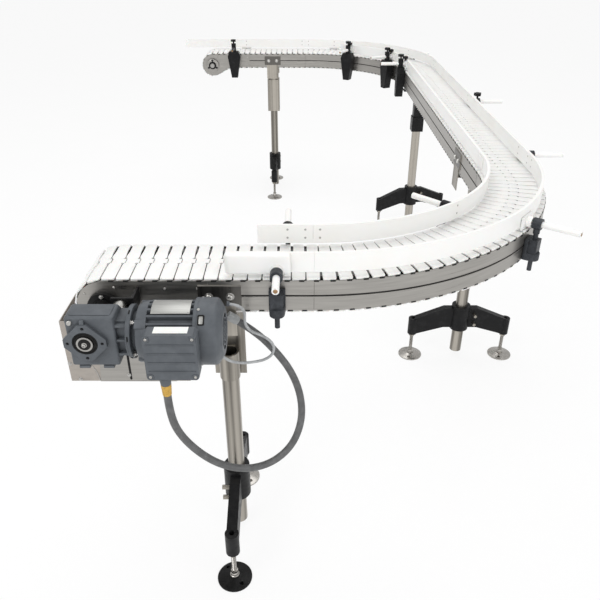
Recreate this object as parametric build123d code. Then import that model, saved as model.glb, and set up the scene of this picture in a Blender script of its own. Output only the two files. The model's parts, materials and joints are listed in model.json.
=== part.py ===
"""U-shaped slat-chain conveyor with a gearmotor, four stands and two guide rails.

Millimetres, +Z up. The origin is the centre of the sole of the drive stand's front foot.
The chain runs from the drive end along +X, round a left bend, along +Y, round a second
left bend and back along -X to the idler end.
"""
from build123d import *
import math
import os

# Route of the chain's centreline, seen from above
belt_height = 1040.0
foot_span = 440.0
head_run = 307.0
front_run = 248.0
middle_run = 1915.0
rear_leg = 662.5
bend_radius = 725.0
bend_turn = 90.0

# Side-flexing slat chain
chain_pitch = 38.1
chain_width = 206.0
slat_thickness = 4.0
slat_outer_length = 35.0
slat_middle_length = 35.6
slat_inner_length = 31.0
taper_start_share = 0.3
taper_end_share = 0.55
top_over_pins = 6.0
tongue_width = 24.0
tongue_reach = 6.1
tongue_gap = 1.9
hinge_gap = 0.25
barrel_width = 18.0
barrel_radius = 5.0
links_with_barrels = 14
end_links = 5
sprocket_teeth = 12
wrapped_links = 7
ramp_angles = (30.0, 30.0, 15.0)

# Side frame, its end plates and what stiffens it
frame_width = 210.0
rail_thickness = 4.0
slat_clearance = 2.0
groove_height = 7.0
groove_depth = 2.0
plate_thickness = 5.0
drive_plate_length = 277.0
idler_plate_length = 265.0
joint_gap = 0.6
spacer_radius = 10.0
strip_width = 25.0
strip_height = 12.0
strip_spread = 72.0
return_spread = 38.0
track_half_width = 80.0
seat_gap = 0.3
spacer_margin = 55.0
spacer_step = 420.0

# Shafts, sprockets and bearings
shaft_radius = 15.0
fit = 0.05
shaft_overhang = 30.0
sprocket_disc = 9.0
sprocket_gap = 1.5
hub_radius = 30.0
hub_length = 60.0
tooth_clearance = 0.7
groove_depth_share = 0.86
tooth_root_share = 0.36
tooth_tip_share = 0.22
bearing_radius = 42.0
bearing_depth = 13.0
bearing_boss_radius = 26.0
bearing_boss_depth = 6.0
plate_bore_radius = 23.0

# Gearbox and motor
gearbox_front = 180.0
gearbox_width = 118.0
gearbox_height = 140.0
gearbox_low_share = 0.514
gearbox_depth = 90.0
motor_setback = 57.5
gearbox_left_share = 0.3746
casting_radius = 6.0
back_boss_radius = 34.0
back_boss_depth = 6.0
face_rib_width = 10.0
face_rib_step = 2.0
gearbox_shoulder = 16.0
gearbox_foot_height = 7.0
gearbox_foot_width = 26.0
flange_across = 104.0
flange_corner = 22.0
flange_depth = 10.0
flange_seat_radius = 31.0
flange_seat_depth = 4.0
hollow_radius = 20.0
hollow_reach = 4.0
flange_hole_radius = 4.0
flange_hole_circle = 42.0
neck_height = 96.0
neck_depth = 62.0
neck_length = 26.0
neck_rib_shares = (0.08, 0.5, 0.92)
neck_rib_height = 6.0
neck_rib_reach = 44.0
adapter_radius = 68.0
adapter_length = 12.0
shield_gap = 12.0
shield_neck_radius = 50.0
shield_radius = 70.0
shield_length = 28.0
stator_length = 112.0
stator_core_radius = 66.0
fin_tip_radius = 78.0
fin_count = 24
fin_root_share = 0.32
fin_tip_share = 0.14
fan_cover_radius = 84.0
fan_cover_length = 68.0
fan_cover_nose_radius = 62.0
fan_cover_nose = 16.0
cover_wall = 2.0
fan_radius = 68.0
fan_thickness = 4.0
fan_blade_count = 6
fan_blade_height = 22.0
fan_blade_length = 34.0
rotor_radius = 11.0
intake_radius = 46.0
intake_bars = 4
turned_sides = 28
box_width = 124.0
box_height = 124.0
box_depth = 41.0
box_lid_depth = 16.0
box_reach = 125.5
box_neck = 80.0
box_corner = 14.0
box_station = 67.5
box_rise = 5.0
lid_screw_radius = 4.0
lid_screw_height = 3.0
lid_screw_inset = 9.0
lid_rib_depth = 1.5
lid_rib_height = 3.0
lid_rib_shares = (-0.3, -0.1, 0.1, 0.3)
gland_radius = 15.0
gland_length = 14.0
collar_radius = 13.0
collar_tip_radius = 10.6

# Torque arm between the gearbox and the end plate
bush_radius = 19.0
bush_length = 30.0
bush_rise = 34.0
bush_shift = 62.0
arm_thickness = 6.0
arm_width = 58.0
arm_height = 46.0

# Guards below the drive end
guard_thickness = 2.0
guard_drop = 232.0
guard_left = 58.9
guard_split = 97.0
guard_length = 337.0
guard_corner = 40.0
bevel_share = 0.29
guard_lip = 14.0
guard_top_drop = 48.4
guard_gap = 0.3

# Stands
tube_radius = 26.5
tube_wall = 2.0
tube_top_drop = 298.0
tube_foot = 34.0
cheek_width = 114.0
cheek_top_drop = 20.0
cheek_shoulder_drop = 79.0
cheek_lower_width = 82.0
cheek_bottom_drop = 174.0
cheek_thickness = 3.0
hanger_width = 96.0
hanger_bottom_drop = 400.0
hanger_thickness = 4.0
shelf_drop = 20.0
block_neck = 60.0
sleeve_neck_radius = 38.0
saddle_height = 92.0
saddle_wall = 4.0
base_collar_radius = 43.0
base_collar_low = 159.0
base_collar_high = 283.0
base_middle_low = 168.0
base_middle_high = 270.0
base_middle_reach = 78.0
base_end_low = 126.0
base_end_high = 210.0
base_arm_thickness = 34.0
base_boss_radius = 22.0
base_gap = 0.2
clamp_bolt_reach = 26.0
clamp_bolt_offset = 62.0
clamp_bolt_spread = 46.0
stand_bolt_radius = 8.0
stand_bolt_height = 6.0
stand_bolt_spread = 56.0
base_twist = 12.0
block_width = 73.0
block_low_drop = 373.0
block_high_drop = 282.0
square_width = 86.0
square_low_drop = 421.0
square_high_drop = 194.0
second_stand = 310.0
third_stand_back = 15.0
fourth_stand = 233.0

# Levelling feet
foot_radius = 56.0
foot_rim = 6.0
foot_dome = 16.0
foot_dome_radius = 20.0
ball_radius = 13.0
ball_top = 30.0
spindle_radius = 8.0
spindle_top = 185.0
foot_sides = 16
nut_radius = 14.0
nut_height = 13.0
foot_travel = 40.0

# Guide rails
guide_height = 55.0
guide_lift = 12.0
guide_thickness = 10.0
outer_guide_face = 79.0
inner_guide_face = 87.0
outer_guide_start = 330.0
outer_guide_overrun = 215.0
inner_guide_start = 398.0
inner_guide_end_share = 0.74

# Guide brackets
post_radius = 7.0
post_offset = 128.0
post_low_drop = 133.0
post_fit = 0.08
ring_radius = 17.0
ring_length = 26.0
ring_stem_radius = 10.0
ring_stem_drop = 31.0
rod_radius = 9.5
rod_length = 143.0
front_rod_length = 97.0
outer_rod_drop = 17.5
carrier_length = 72.0
carrier_height = 40.0
carrier_thickness = 6.0
carrier_boss_radius = 17.0
carrier_boss_gap = 3.0
bracket_width = 34.0
bracket_height = 46.0
bracket_wall = 8.0
bracket_root_drop = 24.0
tall_width_bottom = 42.0
tall_width_low = 88.0
tall_width_high = 60.0
tall_rod_gap = 20.0
tall_slope = 34.0
tall_height = 177.0
tall_depth = 46.0
tall_neck_radius = 16.0
tall_neck_rise = 30.0
disc_radius = 35.0
disc_thickness = 3.0
knob_radius = 19.0
knob_height = 14.0
knob_lobes = 5
knob_lobe_share = 0.78
knob_stem_radius = 5.0
knob_stem_length = 12.0

# Places of the guide brackets along the legs
outer_bracket_start = 458.0
inner_bracket_start = 483.0
outer_bracket_middle = 135.0
outer_bracket_end = 430.0
end_bracket = 504.0
outer_bend_share = 0.578
inner_bend_share = 0.489
outer_knob_share = 0.5217
outer_second_share = 0.33
outer_third_share = 0.83
tall_bracket_shares = (0.005, 0.278, 0.667)

# Conduit from the terminal box and the thin lead on the fan cover
conduit_diameter = 20.0
conduit_sides = 8
conduit_route = [
    (-114.0, -104.5, 838.0),
    (-114.0, -104.5, 772.0),
    (-97.0, -96.0, 697.0),
    (-51.0, -84.0, 620.0),
    (3.0, -66.0, 560.0),
    (66.0, -46.0, 527.0),
    (134.0, -24.0, 530.0),
    (190.0, 0.0, 572.0),
    (217.0, 22.0, 643.0),
    (214.0, 44.0, 716.0),
    (187.0, 64.0, 785.0),
    (143.0, 82.0, 840.0),
    (94.0, 99.2, 886.0),
    (47.0, 99.2, 921.0),
]
sleeve_length = 34.0
sleeve_radius = 12.5
sleeve_lead = 8.0
lead_diameter = 7.5
lead_sides = 6
lead_route = [
    (28.0, 51.5, 1003.4),
    (48.0, 53.0, 1000.0),
    (64.0, 59.0, 986.0),
    (69.0, 67.0, 965.0),
    (66.0, 75.0, 942.0),
    (68.0, 82.0, 918.0),
    (82.0, 81.0, 900.0),
    (107.0, 79.0, 891.0),
    (130.0, 77.0, 877.0),
    (143.0, 68.0, 861.0),
    (138.0, 57.0, 843.0),
    (119.0, 48.0, 833.0),
    (94.0, 41.0, 831.0),
    (67.0, 34.0, 832.0),
    (41.0, 28.0, 838.0),
    (19.0, 24.0, 850.0),
    (3.0, 22.0, 868.5),
]
cord_bend_share = 0.45
lead_gland_radius = 7.0
lead_gland_length = 22.0

# Levels and places worked out from the sizes above
sprocket_radius = chain_pitch / (2 * math.sin(math.pi / sprocket_teeth))
pin_level = belt_height - top_over_pins
shaft_level = pin_level - sprocket_radius
wrap_overrun = wrapped_links * 360 / sprocket_teeth - 180
ramp_start = sprocket_radius * math.sin(math.radians(wrap_overrun))
ramp_rise = sum(chain_pitch * math.sin(math.radians(a)) for a in ramp_angles)
ramp_run = sum(chain_pitch * math.cos(math.radians(a)) for a in ramp_angles)
return_level = shaft_level - sprocket_radius * math.cos(math.radians(wrap_overrun)) + ramp_rise
return_inset = ramp_start + ramp_run
slat_underside = top_over_pins - slat_thickness
frame_top = pin_level + slat_underside - slat_clearance
frame_bottom = return_level - slat_underside + slat_clearance
groove_level = (frame_top + frame_bottom) / 2
half_step = math.pi / sprocket_teeth
plate_radius = sprocket_radius * math.cos(half_step) + slat_underside - slat_clearance
strip_top = pin_level + slat_underside - seat_gap
return_strip_low = return_level - slat_underside + seat_gap
upper_spacer_level = strip_top - strip_height - seat_gap - spacer_radius
lower_spacer_level = return_strip_low + strip_height + seat_gap + spacer_radius
front_line = foot_span / 2
bend_length = math.radians(bend_turn) * bend_radius
run_before_rear = head_run + front_run + middle_run + 2 * bend_length
links_on_top = round((run_before_rear + rear_leg) / chain_pitch)
top_length = links_on_top * chain_pitch
rear_run = top_length - run_before_rear
return_links = round((top_length - 2 * return_inset) / chain_pitch)
return_pitch = (top_length - 2 * return_inset) / return_links
tube_top = belt_height - tube_top_drop
cheek_top = belt_height - cheek_top_drop
cheek_shoulder = belt_height - cheek_shoulder_drop
cheek_bottom = belt_height - cheek_bottom_drop
hanger_bottom = belt_height - hanger_bottom_drop
block_low = belt_height - block_low_drop
block_high = belt_height - block_high_drop
square_low = belt_height - square_low_drop
square_high = belt_height - square_high_drop
post_low = belt_height - post_low_drop
half_frame = frame_width / 2
near_face = front_line - half_frame
drive_x = -head_run
gearbox_face = near_face - gearbox_front
motor_line = gearbox_face + motor_setback
gearbox_left = drive_x - gearbox_left_share * gearbox_width
gearbox_right = gearbox_left + gearbox_width
adapter_start = gearbox_right + neck_length
shield_start = adapter_start + adapter_length
stator_start = shield_start + shield_gap + shield_length
cover_start = stator_start + stator_length
overrun = chain_width


class Leg:
    """One stretch of the route: its start frame, with X along the travel, and its length."""

    def __init__(self, start, length, curved):
        self.start = start
        self.length = length
        self.curved = curved

    def at(self, distance, outward=0.0):
        """Frame on the centreline after a distance, moved outward to the right of travel."""
        if not self.curved:
            return self.start * Location((distance, -outward, 0))
        turn = math.degrees(distance / bend_radius)
        centre = Location((0, bend_radius, 0)) * Location((0, 0, 0), (0, 0, turn))
        return self.start * centre * Location((0, -bend_radius - outward, 0))

    def bar(self, outline, begin=0.0, end=None):
        """Sweep an outline of (outward, height) points along part of the leg."""
        end = self.length if end is None else end
        points = [(-outward, height) for outward, height in outline]
        face = Plane.YZ * make_face(Polyline(*points, close=True))
        if not self.curved:
            return self.at(begin) * extrude(face, end - begin)
        axis = Axis((0, bend_radius, 0), (0, 0, 1))
        turn = math.degrees((end - begin) / bend_radius)
        return self.at(begin) * revolve(face, axis, turn)


def make_route():
    """The five stretches from the drive shaft to the idler shaft."""
    legs = []
    start = Location((drive_x, front_line, 0))
    lengths = (head_run + front_run, bend_length, middle_run, bend_length, rear_run)
    for index, length in enumerate(lengths):
        leg = Leg(start, length, index % 2 == 1)
        legs.append(leg)
        start = leg.at(length)
    return legs


legs = make_route()
front, first_bend, middle, second_bend, rear = legs
straights = (front, middle, rear)
bends = (first_bend, second_bend)


def route_at(distance):
    """Frame at a distance along the whole route."""
    for leg in legs:
        if distance <= leg.length or leg is rear:
            return leg.at(distance)
        distance -= leg.length


def box(low, high):
    """Block between two corners."""
    size = [b - a for a, b in zip(low, high)]
    return Location(low) * Box(*size, align=(Align.MIN, Align.MIN, Align.MIN))


def rod(start, direction, length, radius):
    """Round bar from a point along a direction."""
    plane = Plane(origin=start, z_dir=direction)
    return extrude(plane * Circle(radius), length)


def turned(start, direction, stations, sides):
    """Faceted turned form through (distance, radius) stations along an axis."""
    plane = Plane(origin=start, z_dir=direction)
    rings = [plane.offset(distance) * RegularPolygon(radius, sides) for distance, radius in stations]
    return loft(rings, ruled=True)


def solids(parts):
    """Group separate pieces in one node."""
    found = []
    for part in parts:
        found.extend(part.solids())
    return Compound(children=found)


def save(node, *parts):
    """Write one node's STEP file."""
    export_step(solids(parts), f"parts/{node}.step")


# Slat chain


def half_slat(sideways):
    """Half the slat's length at a distance from its middle, on the outside of the bends."""
    share = sideways / (chain_width / 2)
    return (slat_middle_length + (slat_outer_length - slat_middle_length) * share) / 2


def make_slat(tongue=False, notch=False):
    """One link in its own frame: X along the chain, Z out of the carrying face, pins at Z zero."""
    edge = chain_width / 2
    full = slat_middle_length / 2
    cut = slat_inner_length / 2
    outside = [(half_slat(edge), -edge), (full, 0)]
    inside = [(full, edge * taper_start_share), (cut, edge * taper_end_share), (cut, edge)]
    lead = outside + inside
    trail = [(-x, y) for x, y in reversed(lead)]
    root = tongue_width / 2
    tip = slat_middle_length / 2 + tongue_reach
    if tongue:
        lead[1:2] = [(half_slat(root), -root), (tip, -root), (tip, root), (full, root)]
    if notch:
        mouth = root + hinge_gap
        floor = tip - chain_pitch + tongue_gap
        trail[3:4] = [(-full, mouth), (floor, mouth), (floor, -mouth), (-half_slat(mouth), -mouth)]
    plate = extrude(make_face(Polyline(*lead, *trail, close=True)), slat_thickness)
    slat = Location((0, 0, slat_underside)) * plate
    if not tongue:
        return slat
    pin = Plane(origin=(chain_pitch / 2, -barrel_width / 2, 0), z_dir=(0, 1, 0))
    return slat + extrude(pin * RegularPolygon(barrel_radius, 6), barrel_width)


plain_slat = make_slat()


def carrying_slats():
    """Slats of the carrying run."""
    slats = []
    first_end_link = links_on_top - end_links
    for index in range(links_on_top):
        slat = plain_slat
        if index < links_with_barrels:
            slat = make_slat(index < links_with_barrels - 1, True)
        elif index >= first_end_link:
            slat = make_slat(True, index > first_end_link)
        slats.append(route_at((index + 0.5) * chain_pitch) * Location((0, 0, pin_level)) * slat)
    return slats


def returning_slats():
    """Slats of the return run, hanging face down under the rails."""
    face_down = Location((0, 0, return_level), (0, 180, 0))
    slats = []
    for index in range(return_links):
        slats.append(route_at(return_inset + (index + 0.5) * return_pitch) * face_down * plain_slat)
    return slats


def wrapped_slats(end_frame, heading):
    """Slats round one sprocket and up the ramp to the return run.

    heading is 1 where the chain goes over the end in the leg's own direction, else -1.
    """
    step = 360 / sprocket_teeth
    slats = []
    for index in range(wrapped_links):
        angle = math.radians((index + 0.5) * step)
        reach = sprocket_radius * math.cos(math.radians(step / 2))
        x = heading * reach * math.sin(angle)
        z = shaft_level + reach * math.cos(angle)
        turn = heading * math.degrees(angle)
        slats.append(end_frame * Location((x, 0, z), (0, turn, 0)) * make_slat(True, True))
    x = -heading * ramp_start
    z = shaft_level - sprocket_radius * math.cos(math.radians(wrap_overrun))
    for index, rise in enumerate(ramp_angles):
        carries_on = index < len(ramp_angles) - 1
        link = make_slat(carries_on or heading < 0, carries_on or heading > 0)
        slope = math.radians(rise)
        next_x = x - heading * chain_pitch * math.cos(slope)
        next_z = z + chain_pitch * math.sin(slope)
        place = Location(((x + next_x) / 2, 0, (z + next_z) / 2), (0, 180 + heading * rise, 0))
        slats.append(end_frame * place * link)
        x, z = next_x, next_z
    return slats


def make_chain():
    save("chain_top_run", *carrying_slats())
    save("chain_return_run", *returning_slats())
    save("chain_drive_wrap", *wrapped_slats(front.at(0), -1))
    save("chain_idler_wrap", *wrapped_slats(rear.at(rear.length), 1))


# Side frame


def rail_outline(side):
    """Upright rail with a clamping groove in its outer face; side is 1 outside the bends."""
    inner = half_frame - rail_thickness
    sunk = half_frame - groove_depth
    low = groove_level - groove_height / 2
    high = groove_level + groove_height / 2
    points = [(inner, frame_bottom), (half_frame, frame_bottom), (half_frame, low), (sunk, low),
              (sunk, high), (half_frame, high), (half_frame, frame_top), (inner, frame_top)]
    return [(side * outward, height) for outward, height in points]


def end_plate(frame, length, heading, side):
    """Side plate at a shaft, inside the turn and ramp of the chain; heading points away from the end."""
    drop = slat_clearance - slat_underside
    x, z = ramp_start, shaft_level - sprocket_radius * math.cos(math.radians(wrap_overrun)) + drop
    ramp = [(x, z)]
    for angle in ramp_angles:
        x += chain_pitch * math.cos(math.radians(angle))
        z += chain_pitch * math.sin(math.radians(angle))
        ramp.append((x, z))
    across = plate_radius * math.sin(half_step)
    up = plate_radius * math.cos(half_step)
    points = [(0, frame_top), (length, frame_top), (length, frame_bottom), *reversed(ramp),
              (across, shaft_level - up), (0, shaft_level), (-across, shaft_level + up)]
    outline = make_face(Polyline(*points, close=True))
    outline += Location((0, shaft_level)) * Circle(plate_radius)
    outline -= Location((0, shaft_level)) * Circle(plate_bore_radius)
    plate = extrude(Plane.XZ * outline, plate_thickness)
    if heading < 0:
        plate = mirror(plate, Plane.YZ)
    outward = half_frame if side > 0 else plate_thickness - half_frame
    return frame * Location((0, plate_thickness - outward, 0)) * plate


def make_frame():
    straight_rails = []
    for leg in straights:
        begin = drive_plate_length + joint_gap if leg is front else 0.0
        end = leg.length - idler_plate_length - joint_gap if leg is rear else leg.length
        for side in (1, -1):
            straight_rails.append(leg.bar(rail_outline(side), begin, end))
    save("straight_side_rails", *straight_rails)
    save("bend_side_rails", *[bend.bar(rail_outline(side)) for bend in bends for side in (1, -1)])
    plates = []
    for side in (1, -1):
        plates.append(end_plate(front.at(0), drive_plate_length, 1, side))
        plates.append(end_plate(rear.at(rear.length), idler_plate_length, -1, side))
    save("end_plates", *plates)


def spacer_places():
    """Frames of the cross bars, spread evenly along each leg between its ends."""
    places = []
    for leg in legs:
        begin = drive_plate_length + spacer_margin if leg is front else spacer_margin
        end = leg.length - spacer_margin
        if leg is rear:
            end -= idler_plate_length
        count = max(1, round((end - begin) / spacer_step))
        for index in range(count + 1):
            places.append(leg.at(begin + (end - begin) * index / count))
    return places


def make_running_surfaces():
    """Cross bars, wear strips and the bends' tracks."""
    reach = half_frame - rail_thickness - base_gap
    bars = []
    for place in spacer_places():
        for level in (upper_spacer_level, lower_spacer_level):
            bars.append(place * rod((0, -reach, level), (0, 1, 0), 2 * reach, spacer_radius))
    save("frame_cross_bars", *bars)
    strips = []
    for leg in straights:
        begin = return_inset if leg is front else 0.0
        end = leg.length - return_inset if leg is rear else leg.length
        for side in (1, -1):
            for spread, low in ((strip_spread, strip_top - strip_height),
                                (return_spread, return_strip_low)):
                inner = side * spread - strip_width / 2
                outline = [(inner, low), (inner + strip_width, low),
                           (inner + strip_width, low + strip_height), (inner, low + strip_height)]
                strips.append(leg.bar(outline, begin, end))
    save("wear_strips", *strips)
    tracks = []
    for low in (strip_top - strip_height, return_strip_low):
        outline = [(-track_half_width, low), (track_half_width, low),
                   (track_half_width, low + strip_height), (-track_half_width, low + strip_height)]
        tracks.extend(bend.bar(outline) for bend in bends)
    save("bend_tracks", *tracks)


# Shafts, sprockets and bearings


def make_sprocket():
    """Two toothed discs that straddle the chain's barrels, on one hub."""
    root = sprocket_radius - barrel_radius - tooth_clearance
    tip = sprocket_radius * math.cos(math.pi / sprocket_teeth) + slat_underside - tooth_clearance
    step = 2 * math.pi / sprocket_teeth
    points = []
    for tooth in range(sprocket_teeth):
        middle_angle = (tooth + 0.5) * step
        for radius, share in ((root, -tooth_root_share), (tip, -tooth_tip_share),
                              (tip, tooth_tip_share), (root, tooth_root_share)):
            angle = middle_angle + share * step
            points.append((radius * math.sin(angle), radius * math.cos(angle)))
    profile = make_face(Polyline(*points, close=True))
    near = barrel_width / 2 + sprocket_gap
    wheel = extrude(Circle(root * groove_depth_share), near, both=True)
    for side in (1, -1):
        wheel += Location((0, 0, side * near)) * extrude(profile, side * sprocket_disc)
    hub = extrude(RegularPolygon(hub_radius, turned_sides), hub_length / 2, both=True)
    bore = extrude(Circle(shaft_radius + fit), overrun / 2, both=True)
    return Location((0, 0, shaft_level), (90, 0, 0)) * (wheel + hub - bore)


def bearing(side):
    """Flange bearing outside an end plate, in the end's frame."""
    flange = Circle(bearing_radius) - Circle(shaft_radius + fit)
    boss = Circle(bearing_boss_radius) - Circle(shaft_radius + fit)
    body = extrude(flange, bearing_depth) + extrude(boss, bearing_depth + bearing_boss_depth)
    facing = Location((0, -side * half_frame, shaft_level), (side * 90, 0, 0))
    return facing * body


def make_shafts():
    drive_end = front.at(0)
    idler_end = rear.at(rear.length)
    sprocket = make_sprocket()
    save("drive_sprocket", drive_end * sprocket)
    save("idler_sprocket", idler_end * sprocket)
    far = half_frame + shaft_overhang
    near = front_line - gearbox_face - hollow_reach
    save("drive_shaft", drive_end * rod((0, -near, shaft_level), (0, 1, 0), near + far, shaft_radius))
    save("idler_shaft", idler_end * rod((0, -far, shaft_level), (0, 1, 0), 2 * far, shaft_radius))
    save("flange_bearings", *[end * bearing(side) for end in (drive_end, idler_end) for side in (1, -1)])


# Gearbox and motor


def make_gearbox():
    """Right-angle gearbox on the drive shaft with its octagonal output face to the front."""
    low = shaft_level - gearbox_height * gearbox_low_share
    high = low + gearbox_height
    back = gearbox_face + gearbox_depth
    slope = gearbox_shoulder
    side_view = [(gearbox_face + flange_depth, low), (back, low), (back, high - slope),
                 (back - slope, high), (gearbox_face + flange_depth, high)]
    body = extrude(Plane.YZ.offset(gearbox_left) * make_face(Polyline(*side_view, close=True)), gearbox_width)
    body = fillet(body.edges(), casting_radius)
    neck_low = shaft_level - neck_height / 2
    neck_back = motor_line + neck_depth / 2
    body += box((gearbox_right, motor_line - neck_depth / 2, neck_low),
                (adapter_start, neck_back, neck_low + neck_height))
    for share in neck_rib_shares:
        rib_low = neck_low + neck_height * share - neck_rib_height / 2
        body += box((gearbox_right, motor_line - neck_rib_reach, rib_low),
                    (adapter_start, neck_back, rib_low + neck_rib_height))
    body += box((drive_x - face_rib_width / 2, gearbox_face + face_rib_step, shaft_level),
                (drive_x + face_rib_width / 2, gearbox_face + 2 * flange_depth, high - casting_radius))
    body += rod((drive_x, back, shaft_level), (0, 1, 0), back_boss_depth, back_boss_radius)
    face = Plane(origin=(drive_x, gearbox_face, shaft_level), x_dir=(1, 0, 0), z_dir=(0, -1, 0))
    half = flange_across / 2
    corner = flange_corner / 2
    diamond = [(half, -corner), (half, corner), (corner, half), (-corner, half),
               (-half, corner), (-half, -corner), (-corner, -half), (corner, -half)]
    body += extrude(face * make_face(Polyline(*diamond, close=True)), -flange_depth)
    for x in (gearbox_left + slope, gearbox_right - slope - gearbox_foot_width):
        body += box((x, gearbox_face + flange_depth, low - gearbox_foot_height),
                    (x + gearbox_foot_width, back - slope, low))
    body -= extrude(face * Circle(flange_seat_radius), -flange_seat_depth)
    body -= extrude(face * Circle(hollow_radius + fit), -overrun)
    for hole in PolarLocations(flange_hole_circle, 4):
        body -= extrude(face * hole * Circle(flange_hole_radius), -flange_depth)
    return body


def motor_axis_form(start, stations):
    """Turned form about the motor's axis from a place on it."""
    return turned((start, motor_line, shaft_level), (1, 0, 0), stations, turned_sides)


def make_stator():
    """Finned housing of the motor."""
    step = 2 * math.pi / fin_count
    points = []
    for fin in range(fin_count):
        for radius, share in ((stator_core_radius, -fin_root_share), (fin_tip_radius, -fin_tip_share),
                              (fin_tip_radius, fin_tip_share), (stator_core_radius, fin_root_share)):
            angle = (fin + share) * step
            points.append((radius * math.cos(angle), radius * math.sin(angle)))
    plane = Plane(origin=(stator_start, motor_line, shaft_level), z_dir=(1, 0, 0))
    return extrude(plane * make_face(Polyline(*points, close=True)), stator_length)


def end_gland(end, neighbour):
    """Small gland that holds a lead where it leaves the cover."""
    run = Vector(*end) - Vector(*neighbour)
    return turned(end, run, [(0, lead_diameter / 2), (lead_gland_radius, lead_gland_radius),
                             (lead_gland_length, lead_gland_radius)], lead_sides * 2)


def make_fan_cover():
    """Hollow cover with a barred intake at its end."""
    straight = fan_cover_length - fan_cover_nose
    outer = motor_axis_form(cover_start, [(0, fan_cover_radius), (straight, fan_cover_radius),
                                          (fan_cover_length, fan_cover_nose_radius)])
    inner = motor_axis_form(cover_start, [(0, fan_cover_radius - cover_wall),
                                          (straight, fan_cover_radius - cover_wall),
                                          (fan_cover_length - cover_wall, fan_cover_nose_radius - cover_wall)])
    shell = outer - inner
    plane = Plane(origin=(cover_start + straight, motor_line, shaft_level), z_dir=(1, 0, 0))
    intake = Circle(intake_radius)
    for index in range(intake_bars):
        bar = Rectangle(2 * intake_radius, 2 * cover_wall)
        intake -= Location((0, 0, 0), (0, 0, index * 180 / intake_bars)) * bar
    shell -= extrude(plane * intake, fan_cover_length)
    for end, inward in ((lead_route[0], lead_route[1]), (lead_route[-1], lead_route[-2])):
        shell += end_gland(end, inward)
    return shell


def make_fan():
    """Fan on the motor shaft inside the cover."""
    hub_place = cover_start + seat_gap
    fan = turned((hub_place + fan_blade_height, motor_line, shaft_level), (1, 0, 0),
                 [(0, fan_radius), (fan_thickness, fan_radius)], foot_sides)
    for index in range(fan_blade_count):
        blade = box((0, -fan_thickness / 2, fan_radius - fan_blade_length),
                    (fan_blade_height + fan_thickness, fan_thickness / 2, fan_radius - fan_thickness))
        turn = Location((hub_place, motor_line, shaft_level), (index * 360 / fan_blade_count, 0, 0))
        fan += turn * blade
    return fan


def make_terminal_box():
    """Terminal box on the motor's front, its lid, screws and cable gland."""
    middle_x = stator_start + box_station
    middle_z = shaft_level + box_rise
    face = motor_line - box_reach
    plane = Plane(origin=(middle_x, face, middle_z), x_dir=(1, 0, 0), z_dir=(0, -1, 0))
    outline = Rectangle(box_width, box_height)
    outline = chamfer(outline.vertices(), box_corner / 2)
    lid = extrude(plane * outline, -box_lid_depth)
    for share in lid_rib_shares:
        rib = Location((0, share * box_height)) * Rectangle(box_width - box_corner, lid_rib_height)
        lid += extrude(plane * rib, lid_rib_depth)
    seat = plane.offset(-box_lid_depth)
    body = extrude(seat * outline, box_lid_depth - box_depth)
    neck = Rectangle(box_neck, box_neck)
    throat = box_depth - box_reach + fin_tip_radius + seat_gap
    body += extrude(plane.offset(-box_depth) * neck, throat)
    screws = []
    for x in (-1, 1):
        for y in (-1, 1):
            spot = Location((x * (box_width / 2 - lid_screw_inset), y * (box_height / 2 - lid_screw_inset)))
            screws.append(extrude(plane * spot * RegularPolygon(lid_screw_radius, 6), lid_screw_height))
    gland_x, gland_y, gland_end = conduit_route[0]
    floor = middle_z - box_height / 2
    gland = turned((gland_x, gland_y, floor), (0, 0, -1),
                   [(0, gland_radius), (gland_length, collar_radius)], foot_sides)
    gland += turned((gland_x, gland_y, floor - gland_length), (0, 0, -1),
                    [(0, collar_radius), (floor - gland_length - gland_end, collar_tip_radius)], foot_sides)
    return lid, body, screws, gland


def make_motor():
    save("gearbox_housing", make_gearbox())
    reach = gearbox_depth + back_boss_depth + 2 * hollow_reach
    sleeve = rod((drive_x, gearbox_face - hollow_reach, shaft_level), (0, 1, 0), reach, hollow_radius)
    bore = rod((drive_x, gearbox_face - hollow_reach, shaft_level), (0, 1, 0), reach, shaft_radius + fit)
    save("hollow_shaft", sleeve - bore)
    adapter = motor_axis_form(adapter_start, [(0, adapter_radius), (adapter_length, adapter_radius)])
    shield = motor_axis_form(shield_start, [(0, shield_neck_radius), (shield_gap, shield_neck_radius)])
    shield += motor_axis_form(shield_start + shield_gap, [(0, shield_radius), (shield_length, fin_tip_radius)])
    save("motor_end_shield", adapter, shield)
    stator = make_stator()
    rotor = rod((cover_start - stator_length / 2, motor_line, shaft_level), (1, 0, 0),
                stator_length / 2 + fan_blade_height + fan_thickness, rotor_radius)
    socket = rod((cover_start - stator_length / 2, motor_line, shaft_level), (1, 0, 0),
                 stator_length, rotor_radius + fit)
    save("stator_housing", stator - socket)
    save("motor_rotor_shaft", rotor)
    save("cooling_fan", make_fan() - socket)
    save("fan_cover", make_fan_cover())
    lid, body, screws, gland = make_terminal_box()
    save("terminal_box", body)
    save("terminal_box_lid", lid)
    save("terminal_box_screws", *screws)
    save("conduit_gland", gland)


def make_torque_arm():
    """Rubber bush on the gearbox's back, held by an angle on the end plate."""
    back = gearbox_face + gearbox_depth
    x = drive_x + bush_shift
    z = shaft_level + bush_rise
    save("torque_bush", turned((x, back + seat_gap, z), (0, 1, 0),
                               [(0, bush_radius), (bush_length, bush_radius)], foot_sides))
    plane = Plane(origin=(x, back + seat_gap + bush_length, z), x_dir=(1, 0, 0), z_dir=(0, 1, 0))
    half = arm_height / 2
    outline = [(-half, -half), (arm_width - half, -half), (arm_width - half, half), (-half, half)]
    angle = extrude(plane * make_face(Polyline(*[(a, -b) for a, b in outline], close=True)), arm_thickness)
    front_y = back + seat_gap + bush_length
    angle += box((x + arm_width - half - arm_thickness, front_y, z - half),
                 (x + arm_width - half, near_face, z + half))
    save("torque_arm", angle)


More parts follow.
